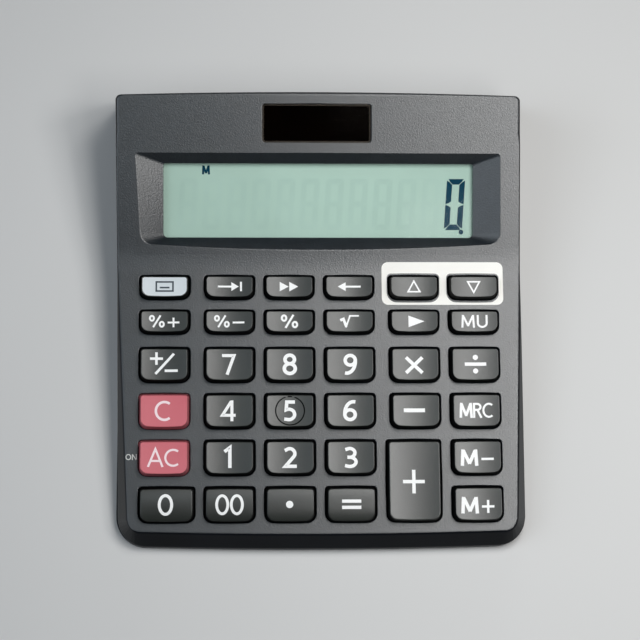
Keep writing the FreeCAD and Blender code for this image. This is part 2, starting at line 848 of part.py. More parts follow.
# Notches behind the skirt for the hooks of the lower case.
LIP_FRONT = "(case_depth / 2 - wall - skirt_reach / 2)"
LIP_TOP = "(case_bottom + floor_thickness + lip_height)"
HOOKS = ("-hook_x", "0 * wall", "hook_x")
notches = []
for number, across in enumerate(HOOKS, start=1):
    notches.append(box(
        "notch_%d" % number, case_frame, across + " - hook_half - hook_clearance",
        across + " + hook_half + hook_clearance", "-" + LIP_FRONT + " - hook_reach - hook_clearance",
        "-" + LIP_FRONT + " + lip_thickness", LIP_TOP + " - hook_height - hook_clearance",
        LIP_TOP + " + hook_clearance",
    ))
shape = cut("case_notches", shape, compound("notches", notches))
shape.Label = "upper_case"
upper_case = shape

NODES = [upper_case]


def node(thing, label):
    """Register a finished piece under its own label."""
    thing.Label = label
    NODES.append(thing)
    return thing


# Display parts.
def window_box(name, grow, low, high, extra="0 * wall"):
    """A plate about the window, grown on every side and further at its front edge."""
    return box(
        name, display_frame, "-window_left - " + grow, "window_right + " + grow,
        "window_bottom - " + grow + " - " + extra, "window_top + " + grow, low, high,
    )


node(window_box("lens_plate", "lens_lip", LENS_LOW, LENS_LOW + " + lens_thickness"), "display_window")
gasket_outer = window_box("gasket_outer", "lens_lip", GASKET_LOW, LENS_LOW)
gasket_inner = window_box(
    "gasket_inner", "(lens_lip - gasket_width)", GASKET_LOW + " - wall", LENS_LOW + " + wall",
)
node(cut("gasket_frame", gasket_outer, gasket_inner), "display_gasket")
glass_front = window_box("glass_front", "glass_overlap", GLASS_MIDDLE, GASKET_LOW)
glass_back = window_box("glass_back", "glass_overlap", GLASS_LOW, GLASS_MIDDLE, "glass_ledge")
node(fuse("display_cell", [glass_front, glass_back]), "display_glass")
node(window_box("reflector_plate", "(glass_overlap / 2)", REFLECTOR_LOW, GLASS_LOW), "display_reflector")
holder_parts = [window_box("holder_plate", "(glass_overlap + holder_margin)", HOLDER_LOW, REFLECTOR_LOW)]
holder_holes = []
for number, (across, along) in enumerate(DISPLAY_STAKES, start=1):
    name = "holder_ear_%d" % number
    holder_parts.append(square(
        name, display_frame, across, along, "(stake_pin + 6 * stake_head_height)", HOLDER_LOW, REFLECTOR_LOW,
    ))
    holder_holes.append(square(
        name + "_hole", display_frame, across, along, "(stake_pin + stake_clearance)",
        HOLDER_LOW + " - wall", REFLECTOR_LOW + " + wall",
    ))
holder = fuse("holder_with_ears", holder_parts)
node(cut("holder_drilled", holder, compound("holder_holes", holder_holes)), "display_holder")


def band(name, frame, corners, half_width):
    """A strip of constant width about the middle, whose side profile is given."""
    return prism(name, frame, corners, None, "2 * " + half_width, "YZ_Plane", True)


LEDGE_DEPTH = "(recess_depth + rim_thickness + lens_thickness + gasket_thickness + glass_thickness)"
LEDGE_FRONT = "(window_bottom - glass_overlap - glass_ledge)"
LEDGE_BACK = "(window_bottom - glass_overlap - film_thickness * 2)"


def ledge_point(along, lift):
    """A point over the display glass's ledge, in the key frame's side view."""
    depth = "(" + LEDGE_DEPTH + " - " + lift + ")"
    return (
        "key_face_length + " + along + " * cos(display_rise) + " + depth + " * sin(display_rise)",
        along + " * sin(display_rise) - " + depth + " * cos(display_rise)",
    )


film = [
    ("rear_stake_along - 1", BOARD_TOP),
    ("board_rear", BOARD_TOP),
    ledge_point(LEDGE_FRONT, "0 * wall"),
    ledge_point(LEDGE_BACK, "0 * wall"),
    ledge_point(LEDGE_BACK, "film_thickness"),
    ledge_point(LEDGE_FRONT, "film_thickness"),
    ("board_rear", BOARD_TOP + " + film_thickness"),
    ("rear_stake_along - 1", BOARD_TOP + " + film_thickness"),
]
node(band("film", key_frame, film, "film_half_width"), "display_film")

# Board, dome sheet and what sits on the board.
board_plate = box(
    "board_plate", key_frame, "-board_half_width", "board_half_width", "board_front", "board_rear",
    BOARD_LOW, BOARD_TOP,
)
board_holes = []
for number, (across, along) in enumerate(SHEET_STAKES + REAR_STAKES, start=1):
    board_holes.append(square(
        "board_hole_%d" % number, key_frame, across, along, "(stake_pin + stake_clearance)",
        BOARD_LOW + " - wall", BOARD_TOP + " + wall",
    ))
node(cut("board_drilled", board_plate, compound("board_holes", board_holes)), "main_board")

sheet_plate = new_body("sheet_plate", key_frame)
plate_outline = new_sketch(sheet_plate, "sheet_outline", "XY_Plane", BOARD_TOP)
add_loops(plate_outline, [rectangle("-board_half_width", "board_half_width", "board_front", "sheet_rear")])
pad(sheet_plate, "sheet_base", plate_outline, "sheet_thickness")
for row in ROWS:
    domes = new_sketch(sheet_plate, "domes_" + row, "XY_Plane", SHEET_TOP)
    loops = []
    for name, column, key_row in KEYS:
        if key_row == row:
            across, along, half, half_high = key_place(name, column, key_row)
            loops.append(clipped(
                across + " - dome_radius", across + " + dome_radius", along + " - dome_radius",
                along + " + dome_radius", "dome_radius * 0.59", "dome_radius * 0.59",
            ))
    add_loops(domes, loops)
    pad(sheet_plate, "dome_pads_" + row, domes, "key_travel - dome_gap")
sheet_holes = []
for number, (across, along) in enumerate(SHEET_STAKES, start=1):
    sheet_holes.append(square(
        "sheet_hole_%d" % number, key_frame, across, along, "(stake_pin + 2 * stake_clearance)",
        BOARD_TOP + " - wall", SHEET_TOP + " + wall / 2",
    ))
node(cut("sheet_drilled", sheet_plate, compound("sheet_holes", sheet_holes)), "dome_sheet")

node(square(
    "chip", key_frame, "-chip_side", "chip_along", "chip_side", BOARD_LOW + " - chip_height", BOARD_LOW,
), "chip_cap")
BOARD_PARTS = (("chip_side / 2", 0.3), ("chip_side", 0.25), ("chip_side * 1.5", 0.4))
parts = []
for number, (across, share) in enumerate(BOARD_PARTS, start=1):
    parts.append(square(
        "board_part_%d" % number, key_frame, across, "chip_along", "(chip_side * %s)" % share,
        BOARD_LOW + " - chip_height * %s * 3" % share, BOARD_LOW,
    ))
node(compound("small_parts", parts), "board_parts")

# Solar cell.
node(prism(
    "solar_plate", display_frame, solar_outline("solar_clearance", "solar_corner * 0.6"),
    "-solar_sink - solar_plate", "solar_plate",
), "solar_window")
node(box(
    "solar_cells", display_frame, SOLAR[0] + " - 1", SOLAR[1] + " + 1", SOLAR[2] + " - 1", SOLAR[3] + " + 1",
    "-wall - solar_panel_thickness", "-wall",
), "solar_panel")


# Lower case: floor, inner lips, hooks, screw posts and props under the board.
def lower_outline():
    """The case's plan, the same as that of the upper case."""
    half = "(case_width / 2)"
    front = "(case_depth / 2)"
    across = "(" + half + " - front_corner_radius)"
    sag = "(front_bow_radius - sqrt(front_bow_radius ^ 2 - " + across + " ^ 2))"
    return [
        ("-" + across, "-" + front + " + " + sag, "front_bow_radius", 1),
        (across, "-" + front + " + " + sag, "front_corner_radius", 1),
        (half, "-" + front + " + " + sag + " + front_corner_radius"),
        (half, front + " - rear_corner_radius", "rear_corner_radius", 1),
        (half + " - rear_corner_radius", front),
        ("-" + half + " + rear_corner_radius", front, "rear_corner_radius", 1),
        ("-" + half, front + " - rear_corner_radius"),
        ("-" + half, "-" + front + " + " + sag + " + front_corner_radius", "front_corner_radius", 1),
    ]


FLOOR_TOP = "(case_bottom + floor_thickness)"
tray = prism("tray", case_frame, lower_outline(), "case_bottom", "floor_thickness")
LIP_OUT = "(case_width / 2 - wall - lip_clearance)"
LIP_IN = "(" + LIP_OUT + " - lip_thickness)"
LIP_REAR = "(case_depth / 2 - wall - lip_clearance)"
lower_parts = [
    tray,
    box(
        "lip_left", case_frame, "-" + LIP_OUT, "-" + LIP_IN, "case_depth * 0.02", "case_depth * 0.4",
        FLOOR_TOP, LIP_TOP,
    ),
    box(
        "lip_right", case_frame, LIP_IN, LIP_OUT, "case_depth * 0.02", "case_depth * 0.4",
        FLOOR_TOP, LIP_TOP,
    ),
    box(
        "lip_front", case_frame, "-case_width * 0.35", "case_width * 0.35", "-" + LIP_FRONT,
        "-" + LIP_FRONT + " + lip_thickness", FLOOR_TOP, LIP_TOP,
    ),
    box(
        "lip_rear", case_frame, "-case_width * 0.4", "case_width * 0.4", LIP_REAR + " - lip_thickness",
        LIP_REAR, FLOOR_TOP, LIP_TOP,
    ),
]
for number, across in enumerate(HOOKS, start=1):
    lower_parts.append(box(
        "hook_%d" % number, case_frame, across + " - hook_half", across + " + hook_half",
        "-" + LIP_FRONT + " - hook_reach", "-" + LIP_FRONT + " + lip_thickness / 2",
        LIP_TOP + " - hook_height", LIP_TOP,
    ))
lower_holes = []
screws = []
for number, (across, along) in enumerate(CASE_SCREWS, start=1):
    lower_parts.append(boss(
        "screw_post_%d" % number, across, along, "case_bottom + floor_thickness / 2",
        "boss_seat - case_bottom - floor_thickness / 2",
    ))
    lower_holes.append(rod(
        "screw_hole_%d" % number, case_frame, across, along, "0 * wall", "boss_seat + wall",
        "case_screw_radius + screw_clearance",
    ))
    lower_holes.append(rod(
        "head_hole_%d" % number, case_frame, across, along, "0 * wall",
        "case_bottom + case_screw_head_height + 0.2", "case_screw_head + screw_clearance",
    ))
    head = rod(
        "screw_head_%d" % number, case_frame, across, along, "case_bottom + 0.2",
        "case_bottom + case_screw_head_height + 0.2", "case_screw_head",
    )
    shank = rod(
        "screw_shank_%d" % number, case_frame, across, along, "case_bottom + case_screw_head_height",
        "boss_seat + case_screw_length - wall", "case_screw_radius",
    )
    screws.append(fuse("case_screw_%d" % number, [head, shank]))

# Props that hold up the front of the board, cut off level with its underside.
PROPS = ("-" + SCREW_ACROSS + " * 0.8", "0 * wall", SCREW_ACROSS + " * 0.8")
props = []
for number, across in enumerate(PROPS, start=1):
    props.append(square(
        "prop_%d" % number, key_frame, across, "(row_6 + row_5) / 2", "prop_width", "-tool_depth",
        BOARD_LOW + " - prop_gap",
    ))
props_above = doc.addObject("Part::Cut", "props_trimmed")
props_above.Base = compound("props", props)
props_above.Tool = box(
    "below_floor", case_frame, "-case_width", "case_width", "-case_depth", "case_depth", "-case_depth",
    "case_bottom + floor_thickness / 2",
)

# A fence of four walls round the button cell.
CELL_REACH = "(cell_radius + cell_clearance)"
fence = []
for number, (side, turn) in enumerate((("+", "x"), ("-", "x"), ("+", "y"), ("-", "y")), start=1):
    near = "(" + CELL_REACH + ")"
    far = "(" + CELL_REACH + " + cell_fence_wall)"
    low_edge, high_edge = (near, far) if side == "+" else (far, near)
    span = "(cell_radius * 0.4)" if turn == "x" else "(cell_radius * 0.3)"
    if turn == "x":
        limits = (
            "cell_x " + side + " " + low_edge, "cell_x " + side + " " + high_edge,
            "cell_y - " + span, "cell_y + " + span,
        )
    else:
        limits = (
            "cell_x - " + span, "cell_x + " + span,
            "cell_y " + side + " " + low_edge, "cell_y " + side + " " + high_edge,
        )
    if turn == "y":
        limits = (
            "cell_x + contact_width * 0.7", "cell_x + contact_width * 0.7 + " + span, limits[2], limits[3],
        )
    fence.append(box(
        "cell_fence_%d" % number, case_frame, *limits, FLOOR_TOP, FLOOR_TOP + " + cell_fence_height",
    ))
lower = fuse("lower_with_posts", lower_parts + [props_above] + fence)
node(cut("lower_drilled", lower, compound("lower_holes", lower_holes)), "lower_case")
node(compound("screw_set", screws), "case_screws")

feet = []
FOOT_ACROSS = "(case_width / 2 - foot_side_margin)"
FOOT_FRONT = "(foot_front_margin - case_depth / 2)"
FOOT_REAR = "(case_depth / 2 - foot_rear_margin)"
FEET = (
    ("-" + FOOT_ACROSS, FOOT_FRONT), (FOOT_ACROSS, FOOT_FRONT),
    ("-" + FOOT_ACROSS, FOOT_REAR), (FOOT_ACROSS, FOOT_REAR),
)
for number, (across, along) in enumerate(FEET, start=1):
    outline = clipped(
        across + " - foot_length / 2", across + " + foot_length / 2", along + " - foot_width / 2",
        along + " + foot_width / 2", "foot_corner", "foot_corner",
    )
    feet.append(prism("foot_%d" % number, case_frame, outline, None, "case_bottom"))
node(compound("feet", feet), "rubber_feet")

# Button cell between its two contacts.
CELL_LOW = "(" + FLOOR_TOP + " + contact_thickness)"
CELL_HIGH = "(" + CELL_LOW + " + cell_height)"
node(rod("cell", case_frame, "cell_x", "cell_y", CELL_LOW, CELL_HIGH, "cell_radius"), "button_cell")
half_contact = "contact_width / 2"
node(box(
    "contact_low", case_frame, "cell_x - " + half_contact, "cell_x + " + half_contact,
    "cell_y - cell_radius - 3 * cell_clearance - contact_width", "cell_y + cell_radius / 2",
    FLOOR_TOP, CELL_LOW,
), "cell_contact_minus")
bridge_out = "(cell_radius + 6 * cell_clearance + cell_fence_wall)"
bridge = box(
    "contact_high", case_frame, "cell_x - " + bridge_out, "cell_x + cell_radius / 2",
    "cell_y - " + half_contact, "cell_y + " + half_contact, CELL_HIGH, CELL_HIGH + " + contact_thickness",
)
leg = box(
    "contact_leg", case_frame, "cell_x - " + bridge_out, "cell_x - " + bridge_out + " + contact_thickness",
    "cell_y - " + half_contact, "cell_y + " + half_contact, FLOOR_TOP, CELL_HIGH,
)
node(fuse("contact_bridge", [bridge, leg]), "cell_contact_plus")

# Flat leads from the solar panel and from the cell to the board.
def world_of(frame_tilt, start_y, start_z, along, depth):
    """Expressions for the case-frame Y and Z of a point given in a tilted frame."""
    return (
        start_y + " + " + along + " * cos(" + frame_tilt + ") - " + depth + " * sin(" + frame_tilt + ")",
        start_z + " + " + along + " * sin(" + frame_tilt + ") + " + depth + " * cos(" + frame_tilt + ")",
    )


FACE_Y = "(skirt_reach - case_depth / 2)"
FACE_Z = "face_front_height"
BEND_Y = "(" + FACE_Y + " + key_face_length * cos(key_slope))"
BEND_Z = "(" + FACE_Z + " + key_face_length * sin(key_slope))"
TILT = "(key_slope + display_rise)"
board_y, board_z = world_of("key_slope", FACE_Y, FACE_Z, "(sheet_rear)", BOARD_LOW)
panel_y, panel_z = world_of(TILT, BEND_Y, BEND_Z, "(solar_bottom + 5)", "(0 - wall - solar_panel_thickness)")
LEAD_LOW = "(" + FLOOR_TOP + " + lead_thickness)"
solar_band = [
    (board_y, board_z),
    (board_y + " - lead_thickness", board_z + " - lead_thickness * tan(key_slope)"),
    (board_y + " - lead_thickness", LEAD_LOW),
    (panel_y + " + lead_thickness", LEAD_LOW),
    (panel_y + " + lead_thickness", panel_z + " + lead_thickness * tan(" + TILT + ")"),
    (panel_y, panel_z),
    (panel_y, LEAD_LOW + " + lead_thickness"),
    (board_y, LEAD_LOW + " + lead_thickness"),
]
node(band("solar_leads_strip", case_frame, solar_band, "lead_width"), "solar_leads")
cell_band = [
    (board_y, board_z),
    (board_y + " - lead_thickness", board_z + " - lead_thickness * tan(key_slope)"),
    (board_y + " - lead_thickness", CELL_LOW),
    ("cell_y - cell_radius - 4 * cell_clearance", CELL_LOW),
    ("cell_y - cell_radius - 4 * cell_clearance", CELL_LOW + " + lead_thickness"),
    (board_y, CELL_LOW + " + lead_thickness"),
]
cell_strip = new_body("cell_strip", Placement(Vector(size("cell_x"), 0, 0), Rotation()))
cell_outline = new_sketch(cell_strip, "cell_strip_outline", "YZ_Plane", None)
add_loops(cell_outline, [cell_band])
pad(cell_strip, "cell_strip_pad", cell_outline, "contact_width / 2", True)
node(cell_strip, "cell_leads")


# Keys.
def corner_edges(shape, side):
    """The slanting corner edges of a cap on one side: front for -1 and rear for 1."""
    found = []
    for number, edge in enumerate(shape.Edges, start=1):
        start, end = edge.Vertexes[0].Point, edge.Vertexes[-1].Point
        if abs(end.z - start.z) > size("key_stand / 2") and start.y * side > 0:
            found.append("Edge%d" % number)
    return found


def make_key(name, column, row):
    """One key: a tapered hollow cap with a dished or crowned top, a flange and a stem."""
    across, along, half, half_high = key_place(name, column, row)
    body = new_body(name)
    cap = body.newObject("PartDesign::AdditiveWedge", name + "_cap")
    low_half = "(" + half + " - key_clearance)"
    low_high = "(" + half_high + " - key_clearance)"
    top_half = "(" + half + " - key_top_inset)"
    top_front = "(" + half_high + " - key_top_inset_front)"
    top_rear = "(" + half_high + " - key_top_inset_rear)"
    for prop, text in (
        ("Ymin", "0 * wall"), ("Ymax", "key_stand - " + FLANGE_TOP),
        ("Xmin", "-" + low_half), ("Xmax", low_half), ("Zmin", "-" + low_high), ("Zmax", low_high),
        ("X2min", "-" + top_half), ("X2max", top_half), ("Z2min", "-" + top_rear), ("Z2max", top_front),
    ):
        setattr(cap, prop, size(text))
        bind(cap, prop, text)
    cap.Placement = Placement(Vector(0, 0, size(FLANGE_TOP)), Rotation(ACROSS, 90))
    bind(cap, "Placement.Base.z", FLANGE_TOP)
    doc.recompute()
    front = body.newObject("PartDesign::Chamfer", name + "_front_corners")
    front.Base = (cap, corner_edges(cap.Shape, -1))
    bind(front, "Size", "key_front_corner")
    doc.recompute()
    rear = body.newObject("PartDesign::Chamfer", name + "_rear_corners")
    rear.Base = (front, corner_edges(front.Shape, 1))
    bind(rear, "Size", "key_rear_corner")
    doc.recompute()
    if name in CROWNED:
        top = new_sketch(body, name + "_top", "YZ_Plane")
        drop = "(key_crown_radius - sqrt(key_crown_radius ^ 2 - (" + half_high + ") ^ 2))"
        edge = "(key_stand - " + drop + ")"
        add_loops(top, [[
            ("-" + half_high, edge), ("-" + half_high, "2 * key_stand"), (half_high, "2 * key_stand"),
            (half_high, edge, "key_crown_radius", 1),
        ]])
        pocket(body, name + "_crown", top, None, True)
    else:
        top = new_sketch(body, name + "_top", "XZ_Plane")
        drop = "(key_dish_radius - sqrt(key_dish_radius ^ 2 - (" + half + ") ^ 2))"
        edge = "(key_stand - key_dish_depth + " + drop + ")"
        add_loops(top, [[
            ("-" + half, edge, "key_dish_radius", 1), (half, edge), (half, "2 * key_stand"),
            ("-" + half, "2 * key_stand"),
        ]])
        pocket(body, name + "_dish", top, None, True)
    flange = body.newObject("PartDesign::AdditiveBox", name + "_flange")
    flange_half = "(" + half + " + flange_lip)"
    flange_high = "(" + half_high + " + flange_lip)"
    bind(flange, "Length", "2 * " + flange_half)
    bind(flange, "Width", "2 * " + flange_high)
    bind(flange, "Height", "flange_thickness")
    flange.Placement = Placement(Vector(-size(flange_half), -size(flange_high), size(FLANGE_LOW)), Rotation())
    bind(flange, "Placement.Base.x", "-" + flange_half)
    bind(flange, "Placement.Base.y", "-" + flange_high)
    bind(flange, "Placement.Base.z", FLANGE_LOW)
    hollow = new_sketch(body, name + "_hollow_outline", "XY_Plane", FLANGE_LOW)
    roof_low = "(0 - " + FLANGE_LOW + ") + key_stand - key_dish_depth - key_roof"
    room_half = "(" + half + " - key_clearance - key_shell)"
    room_high = "(" + half_high + " - key_clearance - key_shell)"
    stem_high = "(key_stem / 2)"
    add_loops(hollow, [
        rectangle("-" + room_half, room_half, "-" + room_high, room_high),
        rectangle("-key_stem / 2", "key_stem / 2", "-" + stem_high, stem_high),
    ])
    pocket(body, name + "_hollow", hollow, roof_low, False, True)
    doc.recompute()
    body.Placement = key_frame.multiply(Placement(Vector(size(across), size(along), 0), Rotation()))
    return node(body, name)


for name, column, row in KEYS:
    make_key(name, column, row)
doc.recompute()

# Every feature and every piece has to be sound before anything is written.
for thing in doc.Objects:
    if "Invalid" in thing.State or "Error" in thing.State:
        raise RuntimeError("feature failed: " + thing.Label)
for thing in NODES:
    piece = thing.Shape
    if piece.isNull() or not piece.isValid():
        raise RuntimeError("piece is not sound: " + thing.Label)
    print(thing.Label, len(piece.Solids), round(piece.Volume, 1))
    piece.exportStep("parts/" + thing.Label + ".step")
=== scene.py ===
"""Looks of a desktop calculator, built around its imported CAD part."""

import math

import bpy
import numpy as np
from mathutils import Matrix


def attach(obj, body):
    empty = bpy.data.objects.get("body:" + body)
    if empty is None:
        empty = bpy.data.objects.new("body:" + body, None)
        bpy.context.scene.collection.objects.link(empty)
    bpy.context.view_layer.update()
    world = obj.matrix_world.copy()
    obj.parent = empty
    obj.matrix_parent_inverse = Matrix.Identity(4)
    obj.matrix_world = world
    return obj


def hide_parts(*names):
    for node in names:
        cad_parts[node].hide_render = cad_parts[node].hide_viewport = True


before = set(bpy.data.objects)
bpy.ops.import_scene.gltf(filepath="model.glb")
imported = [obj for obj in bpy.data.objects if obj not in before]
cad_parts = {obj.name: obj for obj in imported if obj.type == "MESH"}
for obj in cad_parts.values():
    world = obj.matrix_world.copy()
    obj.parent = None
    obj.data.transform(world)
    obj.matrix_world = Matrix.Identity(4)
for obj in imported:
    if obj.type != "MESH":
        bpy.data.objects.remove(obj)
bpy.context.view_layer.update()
bpy.context.scene.view_settings.view_transform = "Standard"

MM = 0.001

# Sizes in millimetres and angles in radians, the same ones that the CAD part uses.
CASE_HALF = 63.25
CASE_REAR = 74.0
CASE_DEPTH = 148.0
KEY_TILT = math.radians(5.0)
BEND_TURN = math.radians(14.0)
BEND_RADIUS = 36.0
KEY_FACE = 86.5
FACE_START = np.array([0.0, -70.9, 9.5])
PARTING = 2.6
WALL = 1.8
COLUMNS = (-48.4, -28.2, -9.5, 9.25, 29.6, 48.4)
ROWS = (77.73, 66.64, 53.02, 38.43, 23.84, 9.30)
HOLE_HALF = 8.0
HOLE_HALF_HIGH = 5.95
SMALL_HALF_HIGH = 4.25
ZERO_MIDDLE, ZERO_HALF = -47.5, 8.8
PLUS_MIDDLE, PLUS_HALF = 28.8, 8.7

# Lengths along the case's top from its front edge: the start and end of the bend, and the place from which
# the display's own sizes count.
BEND_CUT = BEND_RADIUS * math.tan(BEND_TURN / 2)
BEND_START = KEY_FACE - BEND_CUT
BEND_LENGTH = BEND_RADIUS * BEND_TURN
BEND_END = BEND_START + BEND_LENGTH
DISPLAY_START = BEND_END - BEND_CUT

# The fields into which the top is divided: one for each key, the recess and the solar opening.
COLUMN_EDGES = (-58.2, -38.3, -18.85, -0.125, 19.4, 39.0, 58.2)
ROW_EDGES = (82.9, 72.185, 60.68, 45.725, 31.135, 16.57, 2.4)
FIELD_HALF = 58.2
FIELD_FRONT = 2.4
FIELD_REAR = DISPLAY_START + 50.2
RECESS_FRONT = DISPLAY_START + 1.9
RECESS_REAR = DISPLAY_START + 35.1
SOLAR_SIDES = (-20.5, 19.0)

# The case's outline seen from above: half of each straight run and the radius of the corner next to it, for
# the edge of the face and for the wall under it. An edge with a bow b lies x^2 / b away from its middle.
FACE_FRONT, FACE_FRONT_MIDDLE, FACE_FRONT_RADIUS = 56.1, 56.15, 4.0
WALL_FRONT, WALL_FRONT_RADIUS = 53.75, 9.5
FACE_REAR, FACE_REAR_RADIUS = 61.43, 1.8
WALL_REAR, WALL_REAR_Y, WALL_REAR_RADIUS = 60.75, 71.5, 2.5
FRONT_BOW, REAR_BOW = 3560.0, 3900.0
RIM = DISPLAY_START + 53.0
FRONT_CUT, REAR_CUT = 1.4, 1.2
# Heights of the wall's upper edge at the front, at the rear corners and in the middle of the rear.
FRONT_TOP, CORNER_TOP, REAR_TOP = 3.5, 7.3, 9.27

# Key piece: column, row, colour and legend.
KEYS = {
    "key_display": (0, 0, "light", "screen"),
    "key_go_to": (1, 0, "dark", "go_to"),
    "key_auto_review": (2, 0, "dark", "forward"),
    "key_correct": (3, 0, "dark", "back"),
    "key_step_up": (4, 0, "dark", "up"),
    "key_step_down": (5, 0, "dark", "down"),
    "key_tax_plus": (0, 1, "dark", "percent_plus"),
    "key_tax_minus": (1, 1, "dark", "percent_minus"),
    "key_percent": (2, 1, "dark", "percent"),
    "key_root": (3, 1, "dark", "root"),
    "key_play": (4, 1, "dark", "play"),
    "key_markup": (5, 1, "dark", "MU"),
    "key_sign": (0, 2, "dark", "sign"),
    "key_7": (1, 2, "dark", "7"),
    "key_8": (2, 2, "dark", "8"),
    "key_9": (3, 2, "dark", "9"),
    "key_times": (4, 2, "dark", "times"),
    "key_divide": (5, 2, "dark", "divide"),
    "key_clear": (0, 3, "red", "C"),
    "key_4": (1, 3, "dark", "4"),
    "key_5": (2, 3, "dark", "5"),
    "key_6": (3, 3, "dark", "6"),
    "key_minus": (4, 3, "dark", "minus"),
    "key_memory_recall": (5, 3, "dark", "MRC"),
    "key_all_clear": (0, 4, "red", "AC"),
    "key_1": (1, 4, "dark", "1"),
    "key_2": (2, 4, "dark", "2"),
    "key_3": (3, 4, "dark", "3"),
    "key_plus": (4, 4, "dark", "plus"),
    "key_memory_minus": (5, 4, "dark", "M-"),
    "key_0": (0, 5, "dark", "0"),
    "key_00": (1, 5, "dark", "00"),
    "key_point": (2, 5, "dark", "point"),
    "key_equals": (3, 5, "dark", "equals"),
    "key_memory_plus": (5, 5, "dark", "M+"),
}
CROWNED = ("key_0", "key_00", "key_point", "key_equals")


# Shapes.


def columns(*parts):
    """Points from their coordinates, any of which may be one number for all points."""
    return np.stack(np.broadcast_arrays(*[np.asarray(part, float) for part in parts]), axis=-1)


def on_sheet(across, along, lift=0.0):
    """Points of the case's top: a flat key face, an arc of 36 mm radius, and a flat display face.

    across runs over the width, along is the arc length from the front edge, and lift is the height along
    the normal. On the arc the tilt is the key slope plus (along - start) / radius.
    """
    across, along, lift = np.broadcast_arrays(
        np.asarray(across, float), np.asarray(along, float), np.asarray(lift, float)
    )
    flat = np.minimum(along, BEND_START)
    turn = np.clip(along - BEND_START, 0, BEND_LENGTH) / BEND_RADIUS
    beyond = np.maximum(along - BEND_END, 0)
    tilt = KEY_TILT + turn
    y = FACE_START[1] + flat * math.cos(KEY_TILT)
    z = FACE_START[2] + flat * math.sin(KEY_TILT)
    y = y + BEND_RADIUS * (np.sin(tilt) - math.sin(KEY_TILT)) + beyond * np.cos(tilt)
    z = z + BEND_RADIUS * (math.cos(KEY_TILT) - np.cos(tilt)) + beyond * np.sin(tilt)
    return np.stack([across, y - lift * np.sin(tilt), z + lift * np.cos(tilt)], axis=-1)


def lifted(loop, lift):
    """A loop of the flat pattern, placed on the case's top at one height."""
    return on_sheet(loop[:, 0], loop[:, 1], lift)


class Skin:
    """Gathers grids of points and makes one mesh of them."""

    def __init__(self):
        self.points = []
        self.faces = []
        self.count = 0

    def grid(self, rows, closed=True):
        """Quads between neighbouring rows of points; closed joins the last column to the first."""
        rows = np.asarray(rows, float)
        levels, around = rows.shape[:2]
        last = around if closed else around - 1
        i, j = np.meshgrid(np.arange(levels - 1), np.arange(last), indexing="ij")
        k = (j + 1) % around
        corners = [i * around + j, i * around + k, (i + 1) * around + k, (i + 1) * around + j]
        self.points.append(rows.reshape(-1, 3))
        self.faces.append(np.stack(corners, axis=-1).reshape(-1, 4) + self.count)
        self.count += levels * around

    def piece(self, name, look, body, sharp=32.0, weld=0.0004, more=(), choice=None):
        """The mesh object, with near points welded and edges sharper than an angle left sharp.

        more holds further materials, and choice gives for each face which of them it takes, where 0 is look.
        """
        points = np.concatenate(self.points)
        faces = np.concatenate(self.faces)
        if weld:
            cells = np.round(points / weld).astype(np.int64)
            _, first, same = np.unique(cells, axis=0, return_index=True, return_inverse=True)
            points, faces = points[first], same.reshape(-1)[faces]
        # A quad that lost one corner becomes a triangle, and one that lost more or folded up is left out.
        doubled = faces == np.roll(faces, 1, axis=1)
        folded = (faces[:, 0] == faces[:, 2]) | (faces[:, 1] == faces[:, 3])
        kept = np.flatnonzero((doubled.sum(1) < 2) & ~folded)
        polygons = [
            [corner for corner, gone in zip(face, lost) if not gone]
            for face, lost in zip(faces[kept].tolist(), doubled[kept].tolist())
        ]
        mesh = bpy.data.meshes.new(name)
        mesh.from_pydata(points * MM, [], polygons)
        for each in (look, *more):
            mesh.materials.append(each)
        if choice is not None:
            mesh.polygons.foreach_set("material_index", np.asarray(choice, np.int32)[kept])
        mesh.validate()
        mesh.polygons.foreach_set("use_smooth", np.ones(len(mesh.polygons), bool))
        mesh.set_sharp_from_angle(angle=math.radians(sharp))
        thing = bpy.data.objects.new(name, mesh)
        bpy.context.scene.collection.objects.link(thing)
        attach(thing, body)
        return thing


# The largest parts of a flat that a rounding and its spare row may take up.
EASE_SHARE, SPARE_SHARE = 0.44, 0.05


def eased(corners, radii, steps=5, spare=0.06):
    """Rows of points along a profile whose inner corners are rounded by a curve.

    corners is a list of (around, 3) arrays. Each inner corner gets the curve
    (1-q)^2 a + 2q(1-q) b + q^2 c between the two points at radius * tan(half the turn) from it, and a spare
    row on both sides that keeps the flats flat.
    """
    rows = [corners[0]]
    for n in range(1, len(corners) - 1):
        before, here, after = corners[n - 1], corners[n], corners[n + 1]
        radius = np.broadcast_to(np.asarray(radii[n - 1], float), here.shape[:1])[:, None]
        into, out = here - before, after - here
        into_length = np.linalg.norm(into, axis=1, keepdims=True) + 1e-9
        out_length = np.linalg.norm(out, axis=1, keepdims=True) + 1e-9
        into, out = into / into_length, out / out_length
        cosine = np.clip((into * out).sum(1, keepdims=True), -1, 1)
        reach = radius * np.tan(np.arccos(cosine) / 2)
        reach = np.minimum(reach, EASE_SHARE * np.minimum(into_length, out_length))
        edge = np.minimum(spare, SPARE_SHARE * np.minimum(into_length, out_length))
        start, end = here - into * reach, here + out * reach
        rows.append(start - into * edge)
        for q in np.linspace(0, 1, steps + 1):
            rows.append((1 - q) ** 2 * start + 2 * q * (1 - q) * here + q * q * end)
        rows.append(end + out * edge)
    rows.append(corners[-1])
    return rows


def curve(cx, cy, rx, ry, first, last, steps=18):
    """Points of an ellipse between two angles in degrees."""
    angle = np.radians(np.linspace(first, last, steps + 1))
    return np.stack([cx + rx * np.cos(angle), cy + ry * np.sin(angle)], axis=-1)


CORNER_STEPS = 6
SIDE_STEPS = 6


